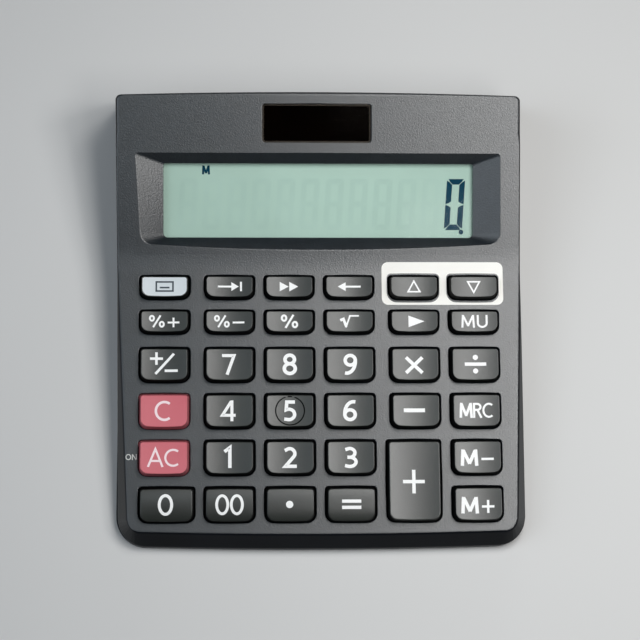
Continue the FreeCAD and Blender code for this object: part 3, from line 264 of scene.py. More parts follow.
def quarters(half, half_high, low, high, bow_low=0.0, bow_high=0.0):
    """A rounded rectangle as a loop that starts at the middle of its front left corner.

    low and high are the corner radii at the front and rear. bow_low and bow_high bend those two edges
    outwards by bow * (1 - (x / half)^2).
    """
    low, high = max(low, 0.02), max(high, 0.02)
    arcs = [
        curve(-half + low, -half_high + low, low, low, 180, 270, CORNER_STEPS),
        curve(half - low, -half_high + low, low, low, 270, 360, CORNER_STEPS),
        curve(half - high, half_high - high, high, high, 0, 90, CORNER_STEPS),
        curve(-half + high, half_high - high, high, high, 90, 180, CORNER_STEPS),
    ]
    step = np.linspace(0, 1, SIDE_STEPS + 1)[1:-1, None]
    loop = []
    for n, arc in enumerate(arcs):
        after = arcs[(n + 1) % 4]
        loop.append(arc[CORNER_STEPS // 2:])
        loop.append(arc[-1] * (1 - step) + after[0] * step)
        loop.append(after[: CORNER_STEPS // 2])
    loop = np.concatenate(loop)
    bend = 1 - np.clip(np.abs(loop[:, 0]) / half, 0, 1) ** 2
    rear = np.clip(loop[:, 1] / half_high, 0, 1)
    front = np.clip(-loop[:, 1] / half_high, 0, 1)
    loop[:, 1] += bend * (rear * bow_high - front * bow_low)
    return loop


def frame_loop(left, right, bottom, top):
    """A rectangle as a loop with as many points on each side as a loop from quarters has."""
    steps = SIDE_STEPS + CORNER_STEPS
    share = np.arange(steps)[:, None] / steps
    corners = np.array([(left, bottom), (right, bottom), (right, top), (left, top)], float)
    return np.concatenate([corners[n] * (1 - share) + corners[(n + 1) % 4] * share for n in range(4)])


def inset_loop(points, amount):
    """A plan outline drawn in by an amount, each point moved along its own normal."""
    after, before = np.roll(points, -1, axis=0), np.roll(points, 1, axis=0)
    along = after[:, :2] - before[:, :2]
    along /= np.linalg.norm(along, axis=1, keepdims=True) + 1e-9
    moved = points.copy()
    moved[:, 0] -= along[:, 1] * amount
    moved[:, 1] += along[:, 0] * amount
    return moved


# Materials. Colours are given as 8-bit values.


def tint(red, green, blue):
    """A linear colour, with full cover, from 8-bit values."""
    return (*[(c / 255) ** 2.2 for c in (red, green, blue)], 1)


def new_node(nodes, kind, **inputs):
    """A shader node with some of its inputs set."""
    made = nodes.new("ShaderNode" + kind)
    for name, value in inputs.items():
        made.inputs[name].default_value = value
    return made


def material(name, low, high, roughness, grain=1400.0, relief=0.0, metal=0.0, mottle=60.0, specular=0.5,
             speckle=0.5):
    """A plastic or metal whose colour drifts between two near colours and whose skin has a fine grain."""
    made = bpy.data.materials.new(name)
    made.use_nodes = True
    nodes, links = made.node_tree.nodes, made.node_tree.links
    shader = nodes["Principled BSDF"]
    shader.inputs["Roughness"].default_value = roughness
    shader.inputs["Metallic"].default_value = metal
    shader.inputs["Specular IOR Level"].default_value = specular
    place = new_node(nodes, "TexCoord")
    cloud = new_node(nodes, "TexNoise", Scale=mottle, Detail=5.0, Roughness=speckle)
    ramp = new_node(nodes, "ValToRGB")
    for element, position, colour in zip(ramp.color_ramp.elements, (0.35, 0.65), (low, high)):
        element.position = position
        element.color = tint(*colour)
    links.new(place.outputs["Object"], cloud.inputs["Vector"])
    links.new(cloud.outputs["Fac"], ramp.inputs["Fac"])
    links.new(ramp.outputs["Color"], shader.inputs["Base Color"])
    if relief:
        fine = new_node(nodes, "TexNoise", Scale=grain, Detail=3.0)
        bump = new_node(nodes, "Bump", Strength=relief, Distance=0.0001)
        links.new(place.outputs["Object"], fine.inputs["Vector"])
        links.new(fine.outputs["Fac"], bump.inputs["Height"])
        links.new(bump.outputs["Normal"], shader.inputs["Normal"])
    return made


def clear_material(name, colour, roughness, bend=1.12):
    """Clear plastic: mostly see-through, with a mirror share that grows towards the edge of view."""
    made = bpy.data.materials.new(name)
    made.use_nodes = True
    nodes, links = made.node_tree.nodes, made.node_tree.links
    nodes.remove(nodes["Principled BSDF"])
    through = new_node(nodes, "BsdfTransparent")
    mirror = new_node(nodes, "BsdfGlossy", Roughness=roughness)
    place = new_node(nodes, "TexCoord")
    cloud = new_node(nodes, "TexNoise", Scale=40.0)
    ramp = new_node(nodes, "ValToRGB")
    ramp.color_ramp.elements[0].color = (*[0.97 * c for c in colour], 1)
    ramp.color_ramp.elements[1].color = (*colour, 1)
    edge = new_node(nodes, "Fresnel", IOR=bend)
    blend = new_node(nodes, "MixShader")
    links.new(place.outputs["Object"], cloud.inputs["Vector"])
    links.new(cloud.outputs["Fac"], ramp.inputs["Fac"])
    links.new(ramp.outputs["Color"], through.inputs["Color"])
    links.new(edge.outputs["Fac"], blend.inputs["Fac"])
    links.new(through.outputs["BSDF"], blend.inputs[1])
    links.new(mirror.outputs["BSDF"], blend.inputs[2])
    links.new(blend.outputs["Shader"], nodes["Material Output"].inputs["Surface"])
    return made


CASE = material("graphite_case", (22, 28, 33), (33, 39, 44), 0.35, 2200.0, 0.6, mottle=230.0, specular=0.92,
                speckle=0.8)
# Painted shade: the skirt, sides, facets and outer half of the rim take darker, duller copies of the case
# plastic, which stand in for the shade on them and draw a dark line round the rim. They are dullest at the
# front and grow glossier round the corners towards the sides: each step of this length, from this Y on, takes
# the next material.
GLOSS_START, GLOSS_STEP = -73.4, 1.3
SHADED_CASE_EDGE = [
    material("graphite_painted_shade_edge_%d" % n, (17, 20, 24), (22, 25, 30), 0.5 - 0.025 * n, 2200.0, 0.3, specular=shine)
    for n, shine in enumerate((0.1, 0.15, 0.2, 0.25, 0.3, 0.35, 0.4))
]
UNDER = material("graphite_underside", (34, 37, 41), (40, 43, 47), 0.42, 1200.0, 0.3, specular=0.3)
KEY_DARK = material("grey_key_plastic", (28, 32, 29), (34, 38, 34), 0.36, 2200.0, 0.15, specular=0.78)
# Painted shade: a darker, duller copy of the key plastic on the keys' side walls, standing in for the shade
# in the gaps round the keys.
KEY_SIDE_SHADE = material("key_side_painted_shade", (14, 15, 15), (18, 19, 19), 0.6, 2200.0, 0.15, specular=0.08)
KEY_RED = material("rose_key_plastic", (207, 111, 120), (213, 119, 128), 0.45, 2200.0, 0.12, specular=0.16)
KEY_LIGHT = material("pale_key_plastic", (209, 216, 220), (216, 223, 227), 0.4, 2200.0, 0.1, specular=0.2)
INK_WHITE = material("white_ink", (250, 251, 250), (253, 253, 252), 0.5, 2500.0, 0.05, specular=0.3)
INK_ROSE = material("rose_white_ink", (250, 226, 230), (253, 231, 234), 0.5, 2500.0, 0.05, specular=0.3)
INK_DARK = material("slate_ink", (62, 70, 78), (70, 78, 86), 0.5, 2500.0, 0.05, specular=0.2)
INK_FACE = material("face_ink", (206, 208, 204), (214, 216, 212), 0.55, 2500.0, 0.05, specular=0.2)
PANEL_INK = material("panel_ink", (246, 244, 238), (251, 250, 244), 0.55, 1800.0, 0.08, specular=0.2)
# Painted shade: the dark colour of the ring that stands for the groove round the 5.
GROOVE_SHADE = material("groove_shadow", (16, 17, 16), (22, 23, 22), 0.7, specular=0.05)
SEGMENT = material("display_segments", (12, 58, 80), (18, 66, 88), 0.6, specular=0.05)
GHOST = material("display_ghost_tint", (182, 202, 195), (188, 208, 201), 0.6, specular=0.08)
DISPLAY = material("display_glass_tint", (184, 204, 196), (190, 210, 202), 0.6, mottle=30.0, specular=0.08)
LENS = clear_material("clear_window", (0.96, 0.985, 0.97), 0.08)
SOLAR = material("solar_cells", (5, 3, 2), (14, 7, 4), 0.6, specular=0.02)
SOLAR_LENS = clear_material("solar_cover", (0.78, 0.74, 0.7), 0.08, 1.05)
BLACK = material("black_plastic", (24, 25, 26), (30, 31, 32), 0.5, 1500.0, 0.15)
RUBBER = material("foot_rubber", (34, 34, 35), (40, 40, 41), 0.75, 1800.0, 0.3)
STEEL = material("steel", (150, 152, 155), (165, 167, 170), 0.3, metal=1.0)
BOARD = material("board", (38, 92, 62), (46, 102, 70), 0.45)
DOME = material("dome_rubber", (150, 152, 150), (160, 162, 160), 0.6)
FILM = material("film", (190, 140, 60), (200, 150, 68), 0.35)
FOIL = material("foil", (196, 200, 198), (206, 210, 208), 0.35)
LEAD = material("lead", (150, 40, 36), (160, 46, 40), 0.45)
FOAM = material("black_foam", (20, 20, 21), (25, 25, 26), 0.85)
GOLD = material("contact", (196, 170, 110), (206, 180, 120), 0.3, metal=1.0)


# The upper case.


def rim_along(across):
    """Where the bowed rear rim of the display face lies."""
    return RIM - across ** 2 / REAR_BOW


def front_along(across):
    """Where the bowed front edge of the key face lies."""
    return across ** 2 / FRONT_BOW


def leaned(across, share):
    """The case's outline a touch wider towards the rear, and its front a touch to the right."""
    share = np.clip(share, 0, 1)
    return across * (1 + 0.0085 * share) + 0.65 * (1 - share) - 0.2 * share


def inner_corner(share, cut, along, inwards):
    """The right corner of the inner rectangle at the front (inwards 1) or the rear (inwards -1).

    The points run counterclockwise from cut before the corner to cut after it.
    """
    away = np.abs(share - 0.5) * 2 * cut
    on_edge = (share < 0.5) == (inwards > 0)
    return columns(np.where(on_edge, FIELD_HALF - away, FIELD_HALF),
                   np.where(on_edge, along, along + inwards * away))


def right_side():
    """The right side from front to rear: points of the inner rectangle, the face's edge and the wall's top.

    The facet between face and wall slopes at 60 degrees. It reaches 3.15 mm out at the front and fades out
    towards the bend, and near the rear the wall's top sinks, by a square law, to the height of the corner.
    """
    start = front_along(FACE_FRONT) + FACE_FRONT_RADIUS
    end = rim_along(61.5) - FACE_REAR_RADIUS
    along = np.concatenate([
        np.linspace(start, BEND_START, 40)[:-1], np.linspace(BEND_START, BEND_END, 11),
        np.linspace(BEND_END, end, 24)[1:],
    ])
    run = np.maximum(3.15 - 3.1 * np.clip(along / KEY_FACE, 0, 1), 0.02)
    x_face = CASE_HALF - run
    face = on_sheet(x_face, along)
    drop = np.maximum(run / math.tan(math.radians(30)), 1.35)
    shift = 1.4 * np.clip(1 - (face[:, 1] + 66) / 22, 0, 1)
    sink = np.clip((along - (end - 14.0)) / 14.0, 0, 1) ** 2
    low_y = face[:, 1] + shift + sink * (WALL_REAR_Y - face[-1, 1])
    low_z = face[:, 2] - drop - sink * (face[-1, 2] - drop[-1] - CORNER_TOP)
    before = FIELD_FRONT + FRONT_CUT + (along - along[0]) * (BEND_START - FIELD_FRONT - FRONT_CUT) / (
        BEND_START - along[0])
    behind = BEND_END + (along - BEND_END) * (FIELD_REAR - REAR_CUT - BEND_END) / (along[-1] - BEND_END)
    near_bend = (along > BEND_START - 1) & (along < BEND_END + 1)
    inner_along = np.where(near_bend, along, np.where(along < BEND_START, before, behind))
    return columns(FIELD_HALF, inner_along), columns(x_face, along), columns(CASE_HALF, low_y, low_z)


def case_path():
    """The loop round the case, counterclockwise from the left end of the front.

    It gives points of the inner rectangle, of the face's edge and of the wall's top, matched one to one.
    """
    across = np.linspace(-1, 1, 29)
    x_face, x_wall = across * FACE_FRONT, across * WALL_FRONT
    front = (
        columns(across * (FIELD_HALF - FRONT_CUT), FIELD_FRONT),
        columns(x_face, front_along(x_face)),
        columns(x_wall, -CASE_REAR + x_wall ** 2 / FRONT_BOW, FRONT_TOP),
    )
    share = np.linspace(0, 1, 11)[1:-1]
    angle = np.radians(270 + 90 * share)
    low = front_along(FACE_FRONT)
    front_corner = (
        inner_corner(share, FRONT_CUT, FIELD_FRONT, 1),
        columns(FACE_FRONT_MIDDLE + FACE_FRONT_RADIUS * np.cos(angle),
                low + FACE_FRONT_RADIUS + FACE_FRONT_RADIUS * np.sin(angle)),
        columns(WALL_FRONT + WALL_FRONT_RADIUS * np.cos(angle),
                -64.4 + 9.6 * np.sin(angle) + 0.81 * (1 - share), FRONT_TOP + 0.65 * share),
    )
    side = right_side()
    angle = np.radians(90 * share)
    rear_low = rim_along(61.5) - FACE_REAR_RADIUS
    rear_corner = (
        inner_corner(share, REAR_CUT, FIELD_REAR, -1),
        columns(FACE_REAR + FACE_REAR_RADIUS * np.cos(angle), rear_low + FACE_REAR_RADIUS * np.sin(angle)),
        columns(WALL_REAR + WALL_REAR_RADIUS * np.cos(angle), WALL_REAR_Y + WALL_REAR_RADIUS * np.sin(angle),
                CORNER_TOP - 0.85 * share),
    )
    across = np.linspace(1, -1, 33)
    x_face, x_wall = across * FACE_REAR, across * WALL_REAR
    rear = (
        columns(across * (FIELD_HALF - REAR_CUT), FIELD_REAR),
        columns(x_face, rim_along(x_face)),
        columns(x_wall, CASE_REAR, REAR_TOP - 3.07 * x_wall ** 2 / REAR_BOW),
    )
    loops = []
    for edge, turn, run, rear_turn, rim in zip(front, front_corner, side, rear_corner, rear):
        # The left side mirrors the right one, from rear to front.
        mirror = np.ones(edge.shape[1])
        mirror[0] = -1
        left = [part[::-1] * mirror for part in (rear_turn, run, turn)]
        loops.append(np.concatenate([edge, turn, run, rear_turn, rim, *left]))
    inner, outline, wall = loops
    outline[:, 0] = leaned(outline[:, 0], outline[:, 1] / 139.5)
    wall[:, 0] = leaned(wall[:, 0], (wall[:, 1] + CASE_REAR) / CASE_DEPTH)
    return inner, outline, wall


# The row of the outer profile, in the middle of the rim's rounding, where the edge piece with its painted
# shade meets the face.
RIM_ROW = 15
RIM_RADIUS = 1.2
FOOT_CHAMFER = 0.12
INNER_MARGIN = 3.2


def add_outer_ring(skin):
    """The case's skirt, sides, facets, rim and the face's margin, as one profile led round the case.

    The profile goes from the inside of the face down the inner wall, round the lower edge, up the wall and
    the facet, over the rim and in to the rectangle where the key and display fields start.
    """
    inner, outline, wall = case_path()
    foot = wall.copy()
    foot[:, 2] = PARTING
    foot_up = foot.copy()
    foot_up[:, 2] += FOOT_CHAMFER
    outer = eased([foot, wall, lifted(outline, 0), lifted(inner, 0)], [RIM_RADIUS, RIM_RADIUS], steps=6)
    rows = [
        lifted(inner, -WALL), lifted(inset_loop(outline, INNER_MARGIN), -WALL), inset_loop(foot, WALL),
        inset_loop(foot, FOOT_CHAMFER), foot_up, *outer[1:RIM_ROW + 1],
    ]
    edge = Skin()
    edge.grid(rows)
    # Painted shade: each part of the edge takes a darker, duller copy of the case plastic, dullest at the
    # front.
    step = np.clip((wall[:, 1] - GLOSS_START) / GLOSS_STEP, 0, len(SHADED_CASE_EDGE) - 1).astype(int)
    edge.piece("case_edge", SHADED_CASE_EDGE[0], "case", sharp=34, more=SHADED_CASE_EDGE[1:],
               choice=np.tile(step, len(rows) - 1))
    skin.grid(outer[RIM_ROW:])


def key_place(name):
    """Middle and half sizes of a key's opening."""
    column, row, _, _ = KEYS[name]
    if name == "key_plus":
        return PLUS_MIDDLE, (ROWS[4] + ROWS[5]) / 2, PLUS_HALF, (ROWS[4] - ROWS[5]) / 2 + HOLE_HALF_HIGH
    high = SMALL_HALF_HIGH if row < 2 else HOLE_HALF_HIGH
    if name == "key_0":
        return ZERO_MIDDLE, ROWS[row], ZERO_HALF, high
    return COLUMNS[column], ROWS[row], HOLE_HALF, high


def add_key_cell(skin, name):
    """One field of the key face with its opening: a margin, an eased edge and a wall down through the face.

    The opening is 0.4 mm less deep than in the solids on both sides, and lies 0.11 mm further back.
    """
    column, row = KEYS[name][:2]
    cx, cy, half, half_high = key_place(name)
    bottom = ROW_EDGES[-1] if name == "key_plus" else ROW_EDGES[row + 1]
    edge = frame_loop(COLUMN_EDGES[column], COLUMN_EDGES[column + 1], bottom, ROW_EDGES[row])
    hole = quarters(half, half_high - 0.4, 2.7, 1.1, 0.2, 0.1) + (cx, cy + 0.11)
    rows = eased([lifted(edge, 0), lifted(hole, 0), lifted(hole, -WALL)], [0.28], steps=4, spare=0.04)
    skin.grid(rows + [lifted(edge, -WALL)])


def recess_outline(left_low, left_high, right_low, right_high, low, high, bottom, top, bow):
    """A loop from the middle of the front left corner: a front edge at bottom + bow * x^2, slanting sides and
    a straight rear edge, with corners of radius low at the front and high at the rear."""
    def dip(x):
        return bottom + bow * x ** 2

    across, share, corner = np.linspace(0, 1, 22), np.linspace(0, 1, 10), 7
    start, end = left_low + low, right_low - low
    front = start + (end - start) * across
    right = dip(end) + low + (top - high - dip(end) - low) * share
    rear = right_high - high + (left_high + high - right_high + high) * across
    left = top - high + (dip(start) + low - top + high) * share
    return np.concatenate([
        curve(start, dip(start) + low, low, low, 225, 270, corner)[:-1],
        columns(front, dip(front)),
        curve(end, dip(end) + low, low, low, 270, 360, 2 * corner)[1:-1],
        columns(right_low + (right_high - right_low) * share, right),
        curve(right_high - high, top - high, high, high, 0, 90, 2 * corner)[1:-1],
        columns(rear, top),
        curve(left_high + high, top - high, high, high, 90, 180, 2 * corner)[1:-1],
        columns(left_high + (left_low - left_high) * share, left),
        curve(start, dip(start) + low, low, low, 180, 225, corner)[1:-1],
    ]) + (0, DISPLAY_START)


def rectangle_round(loop, left, right, bottom, top):
    """A rectangle's points, one for each point of a loop, seen from the loop's middle."""
    cx, cy = (left + right) / 2, (bottom + top) / 2
    x = (loop[:, 0] - cx) / ((right - left) / 2)
    y = (loop[:, 1] - cy) / ((top - bottom) / 2)
    reach = np.maximum(np.abs(x), np.abs(y))
    points = np.stack([cx + x / reach * (right - left) / 2, cy + y / reach * (top - bottom) / 2], -1)
    for corner in ((left, bottom), (right, bottom), (right, top), (left, top)):
        nearest = np.argmin(((points - corner) ** 2).sum(1))
        points[nearest] = corner
    return points


RECESS_DEPTH = 3.2
WINDOW_FOOT = 3.8


def add_recess(skin):
    """The display recess: an eased mouth, four sloping flanks and the window's short straight wall.

    The mouth's edge is rounder at the front, where it makes a soft lip.
    """
    mouth = recess_outline(-56.2, -57.7, 57.4, 57.3, 3.9, 1.0, 3.4, 33.8, 1 / 1660.0)
    window = recess_outline(-49.0, -49.0, 48.95, 48.95, 1.4, 0.7, 7.2, 30.6, 0.0)
    edge = rectangle_round(mouth, -FIELD_HALF, FIELD_HALF, RECESS_FRONT, RECESS_REAR)
    front = np.clip((DISPLAY_START + 12 - mouth[:, 1]) / 6, 0, 1)
    under = window + (window - window.mean(0)) * 0.04
    rows = eased(
        [lifted(edge, 0), lifted(mouth, 0), lifted(window, -RECESS_DEPTH), lifted(window, -WINDOW_FOOT),
         lifted(under, -WINDOW_FOOT)],
        [0.35 + 0.9 * front, 0.12, 0.02], steps=5, spare=0.05,
    )
    skin.grid(rows + [lifted(edge, -WALL)])


SOLAR_BOX = (-17.95, 16.45, DISPLAY_START + 37.04, DISPLAY_START + 49.31)
SOLAR_SEAT = -1.42


def add_solar(skin):
    """The solar opening: an eased edge, a wall down to the cover's seat and a narrower hole behind it."""
    left, right, bottom, top = SOLAR_BOX
    middle = np.array([(left + right) / 2, (bottom + top) / 2])
    half, high = (right - left) / 2, (top - bottom) / 2
    edge = frame_loop(*SOLAR_SIDES, RECESS_REAR, FIELD_REAR)
    hole = quarters(half, high, 1.0, 1.0) + middle
    seat = quarters(half - 0.6, high - 0.6, 0.6, 0.6) + middle
    rows = eased(
        [lifted(edge, 0), lifted(hole, 0), lifted(hole, SOLAR_SEAT), lifted(seat, SOLAR_SEAT),
         lifted(seat, -WALL)],
        [0.2, 0.02, 0.02], steps=3, spare=0.03,
    )
    skin.grid(rows + [lifted(edge, -WALL)])


def add_plain(skin, left, right, alongs):
    """A plain patch of the face, its top and its underside."""
    x = np.linspace(left, right, 9)
    skin.grid([on_sheet(x, along) for along in alongs], closed=False)
    skin.grid([on_sheet(x[::-1], along, -WALL) for along in alongs], closed=False)


def build_upper_case():
    """The upper case in one piece: key cells, bend, recess, solar opening and the ring round them."""
    skin = Skin()
    add_outer_ring(skin)
    for name in KEYS:
        add_key_cell(skin, name)
    bend = np.concatenate([[ROW_EDGES[0]], np.linspace(BEND_START + 1.76, RECESS_FRONT, 8)])
    add_plain(skin, -FIELD_HALF, FIELD_HALF, bend)
    add_recess(skin)
    add_solar(skin)
    add_plain(skin, -FIELD_HALF, SOLAR_SIDES[0], [RECESS_REAR, FIELD_REAR])
    add_plain(skin, SOLAR_SIDES[1], FIELD_HALF, [RECESS_REAR, FIELD_REAR])
    case = skin.piece("case_top", CASE, "case", sharp=34)
    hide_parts("upper_case")
    return case


# Keys.

# How far the edge of a key's top lies inside its opening, across and along, and its shift to the front.
TOP_INSET = (0.85, 1.21)
CREST_SHIFT = np.array([0.0, -0.35])
FLANGE_LOW, FLANGE_TOP = -2.7, -1.9
# The rows of a cap, counted from inside, up to the start of its eased edge; these side rows take the painted
# shade.
SIDE_ROWS = 6


def key_top(name, points):
    """Height of a key's top: hollow across for most keys, crowned along for four keys of the front row.

    It is 3.6 - 0.62 ((y - 1.2) / half)^2 for a crown and 3.15 + 0.62 (x / half)^2 for a hollow.
    """
    half, half_high = key_place(name)[2:]
    if name in CROWNED:
        return 3.6 - 0.62 * ((points[:, 1] - 1.2) / (half_high - TOP_INSET[1])) ** 2
    return 3.15 + 0.62 * (points[:, 0] / (half - TOP_INSET[0])) ** 2


def on_key(name, points, lift):
    """Points round a key's middle, at a height over the key slope, which runs on straight under the bend."""
    cx, cy = key_place(name)[:2]
    along = points[:, 1] + cy
    beyond = np.maximum(along - BEND_START, 0)[:, None]
    straight = beyond * np.array([0.0, math.cos(KEY_TILT), math.sin(KEY_TILT)])
    return on_sheet(points[:, 0] + cx, np.minimum(along, BEND_START), lift) + straight


def key_rings(name, crest, spine, shares, over=0.0):
    """Rings on a key's top, drawn in from its edge towards its middle line by shares of the way."""
    rings = [crest * (1 - share) + spine * share for share in shares]
    return [on_key(name, ring, key_top(name, ring) + over) for ring in rings]


def build_key(name, colour):
    """One key cap: a flange under the face, tapering sides, an eased edge and a hollow or crowned top."""
    half, half_high = key_place(name)[2:]

    def loop(inset_x, inset_y, low, high):
        return quarters(half - inset_x, half_high - inset_y, low, high, 0.22, 0.13)

    flange = loop(-0.75, -0.75, 3.2, 1.6)
    base = loop(0.2, 0.48, 2.5, 0.95)
    crest = loop(*TOP_INSET, 2.15, 0.75) + CREST_SHIFT
    reach = abs(half - half_high)
    if half >= half_high:
        spine = columns(np.clip(crest[:, 0], -reach, reach) * 0.9, CREST_SHIFT[1])
    else:
        spine = columns(0.0, np.clip(crest[:, 1], -reach, reach) * 0.9)
    inward = crest * 0.9 + spine * 0.1
    rim = eased(
        [on_key(name, base, FLANGE_TOP), on_key(name, crest, key_top(name, crest)),
         on_key(name, inward, key_top(name, inward))],
        [0.5], steps=5, spare=0.04,
    )
    rows = [on_key(name, spine, FLANGE_LOW), on_key(name, flange, FLANGE_LOW),
            on_key(name, flange, FLANGE_TOP)]
    rows += rim[:-1] + key_rings(name, crest, spine, (0.1, 0.2, 0.32, 0.46, 0.6, 0.74, 0.88, 1.0))
    skin = Skin()
    skin.grid(rows)
    if colour == "red":
        cap = skin.piece(name + "_cap", KEY_RED, name, sharp=38)
    else:
        # The side walls take the painted shade of the gaps, and the top takes the key plastic.
        side = np.arange(len(rows) - 1) < SIDE_ROWS
        cap = skin.piece(name + "_cap", KEY_DARK, name, sharp=38, more=[KEY_SIDE_SHADE],
                         choice=np.repeat(side, len(crest)).astype(int))
    if colour == "light":
        build_key_face(name, crest, spine)
    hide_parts(name)
    return cap


def build_key_face(name, crest, spine):
    """The pale face on top of a dark key, 0.015 mm above it."""
    skin = Skin()
    skin.grid(key_rings(name, crest, spine, (0.075, 0.1, 0.15, 0.25, 0.4, 0.6, 0.8, 1.0), 0.015))
    return skin.piece(name + "_face", KEY_LIGHT, name)


# Signs. A stroke is its middle line and whether it closes; a ribbon is the same stroke with its width.


def joined(*parts):
    """Several point lists one after another, without doubled points."""
    points = np.concatenate([np.asarray(p, float) for p in parts])
    keep = np.ones(len(points), bool)
    keep[1:] = np.linalg.norm(np.diff(points, axis=0), axis=1) > 1e-4
    return points[keep]


def stroke(*parts):
    """An open stroke through the points of some lists."""
    return joined(*parts), False


def round_stroke(cx, cy, rx, ry, steps):
    """A closed stroke along an ellipse."""
    return curve(cx, cy, rx, ry, 0, 360, steps)[:-1], True


def refined(points, step=0.45):
    """The same bent line with no piece longer than a step."""
    out = [points[:1]]
    for a, b in zip(points[:-1], points[1:]):
        count = max(int(np.ceil(np.linalg.norm(b - a) / step)), 1)
        share = np.linspace(0, 1, count + 1)[1:, None]
        out.append(a + (b - a) * share)
    return np.concatenate(out)


def ribbon(points, width, closed=False):
    """The two edges of a flat stroke of even width along a line, and the line itself, with mitred bends.

    An edge lies half the width / cos(half the turn) from the line, along the mean of the two normals.
    """
    points = refined(points)
    if closed:
        after, before = np.roll(points, -1, axis=0), np.roll(points, 1, axis=0)
    else:
        after = np.concatenate([points[1:], points[-1:] * 2 - points[-2:-1]])
        before = np.concatenate([points[:1] * 2 - points[1:2], points[:-1]])
    ahead, behind = after - points, points - before
    ahead /= np.linalg.norm(ahead, axis=1, keepdims=True)
    behind /= np.linalg.norm(behind, axis=1, keepdims=True)
    side_a = np.stack([-ahead[:, 1], ahead[:, 0]], -1)
    side_b = np.stack([-behind[:, 1], behind[:, 0]], -1)
    side = side_a + side_b
    side /= np.linalg.norm(side, axis=1, keepdims=True) + 1e-9
    cosine = np.maximum((side * side_a).sum(1, keepdims=True), 0.4)
    side = side / cosine * (width / 2)
    return [points - side, points, points + side]


def disc(cx, cy, radius, steps=28):
    """A filled disc as three rings, the inner one closed to a point."""
    rim = curve(cx, cy, radius, radius, 0, 360, steps)[:-1]
    middle = np.array([[cx, cy]])
    return [rim, rim * 0.5 + middle * 0.5, rim * 0 + middle]


def filled(a, b, c, steps=8):
    """A filled triangle as lines drawn together towards its last corner."""
    a, b, c = (np.array(p, float) for p in (a, b, c))
    share = np.linspace(0, 1, steps + 1)[:, None]
    ends = [(a * (1 - t) + c * t, b * (1 - t) + c * t) for t in np.linspace(0, 1, steps + 1)]
    return [start * (1 - share) + end * share for start, end in ends]


# Strokes of each sign in a box of unit height with its foot at 0, and the sign's width.
SIX = [stroke(curve(0.47, 0.36, 0.39, 0.57, 78, 180), [(0.08, 0.3)]),
       round_stroke(0.31, 0.305, 0.23, 0.235, 32)]
PERCENT_RING = round_stroke(0.165, 0.745, 0.135, 0.2, 24)[0]
GLYPHS = {
    "0": ([round_stroke(0.30, 0.5, 0.265, 0.43, 40)], 0.60),
    "1": ([stroke([(0.04, 0.79), (0.30, 0.985), (0.30, 0.0)])], 0.38),
    "2": ([stroke([(0.045, 0.84)], curve(0.285, 0.685, 0.245, 0.245, 148, -28, 20)[2:],
                  [(0.075, 0.075), (0.62, 0.075)])], 0.62),
    "3": ([stroke([(0.04, 0.87)], curve(0.24, 0.715, 0.225, 0.21, 100, -90), [(0.13, 0.505)]),
           stroke([(0.13, 0.505)], curve(0.235, 0.285, 0.275, 0.22, 90, -100), [(0.02, 0.11)])], 0.56),
    "4": ([stroke([(0.69, 0.285), (0.06, 0.285), (0.475, 0.945)]), stroke([(0.51, 1.0), (0.51, 0.0)])], 0.70),
    "5": ([stroke([(0.53, 0.925), (0.135, 0.925)], curve(0.235, 0.32, 0.275, 0.255, 118, -105, 22),
                  [(0.01, 0.09)])], 0.58),
    "6": (SIX, 0.60),
    "7": ([stroke([(0.01, 0.925), (0.58, 0.925), (0.25, 0.0)])], 0.62),
    "8": ([round_stroke(0.32, 0.725, 0.215, 0.2, 30), round_stroke(0.32, 0.3, 0.25, 0.225, 32)], 0.64),
    "9": ([(np.array([0.62, 1.0]) - points, closed) for points, closed in SIX], 0.60),
    "C": ([stroke(curve(0.46, 0.5, 0.40, 0.435, 52, 308, 34))], 0.80),
    "A": ([stroke([(0.03, 0.0), (0.40, 0.985), (0.77, 0.0)]), stroke([(0.15, 0.33), (0.65, 0.33)])], 0.80),
    "M": ([stroke([(0.07, 0.0), (0.12, 1.0)]), stroke([(0.14, 0.93), (0.48, 0.13)]),
           stroke([(0.8, 0.93), (0.46, 0.13)]), stroke([(0.82, 1.0), (0.87, 0.0)])], 0.94),
    "R": ([stroke([(0.08, 0.0), (0.08, 1.0)]),
           stroke([(0.08, 0.935)], curve(0.32, 0.735, 0.235, 0.2, 90, -90, 14), [(0.08, 0.535)]),
           stroke([(0.33, 0.535), (0.61, 0.0)])], 0.66),
    "U": ([stroke([(0.08, 1.0)], curve(0.38, 0.37, 0.3, 0.31, 180, 360, 20), [(0.68, 1.0)])], 0.76),
    "N": ([stroke([(0.08, 0.0), (0.08, 0.93)]), stroke([(0.08, 0.99), (0.66, 0.01)]),
           stroke([(0.66, 0.07), (0.66, 1.0)])], 0.74),
    "O": ([round_stroke(0.42, 0.5, 0.35, 0.43, 36)], 0.84),
    "+": ([stroke([(0.0, 0.4), (0.8, 0.4)]), stroke([(0.4, 0.0), (0.4, 0.8)])], 0.8),
    "-": ([stroke([(0.0, 0.4), (0.8, 0.4)])], 0.8),
    "%": ([(PERCENT_RING, True), (np.array([1.0, 1.0]) - PERCENT_RING, True),
           stroke([(0.25, 0.0), (0.75, 1.0)])], 1.0),
}


def word(signs, height, weight, gap=0.12, squeeze=1.0, weights=None):
    """Ribbons of several signs side by side, centred. weights gives each sign a stroke of its own."""
    widths = [GLYPHS[sign][1] * height * squeeze for sign in signs]
    total = sum(widths) + gap * height * (len(signs) - 1)
    left = -total / 2
    made = []
    for n, sign in enumerate(signs):
        thick = weights[n] if weights else weight
        for points, closed in GLYPHS[sign][0]:
            x = left + points[:, 0] * height * squeeze
            y = (points[:, 1] - 0.5) * height
            made.append((ribbon(np.stack([x, y], -1), thick, closed), closed))
        left += widths[n] + gap * height
    return made


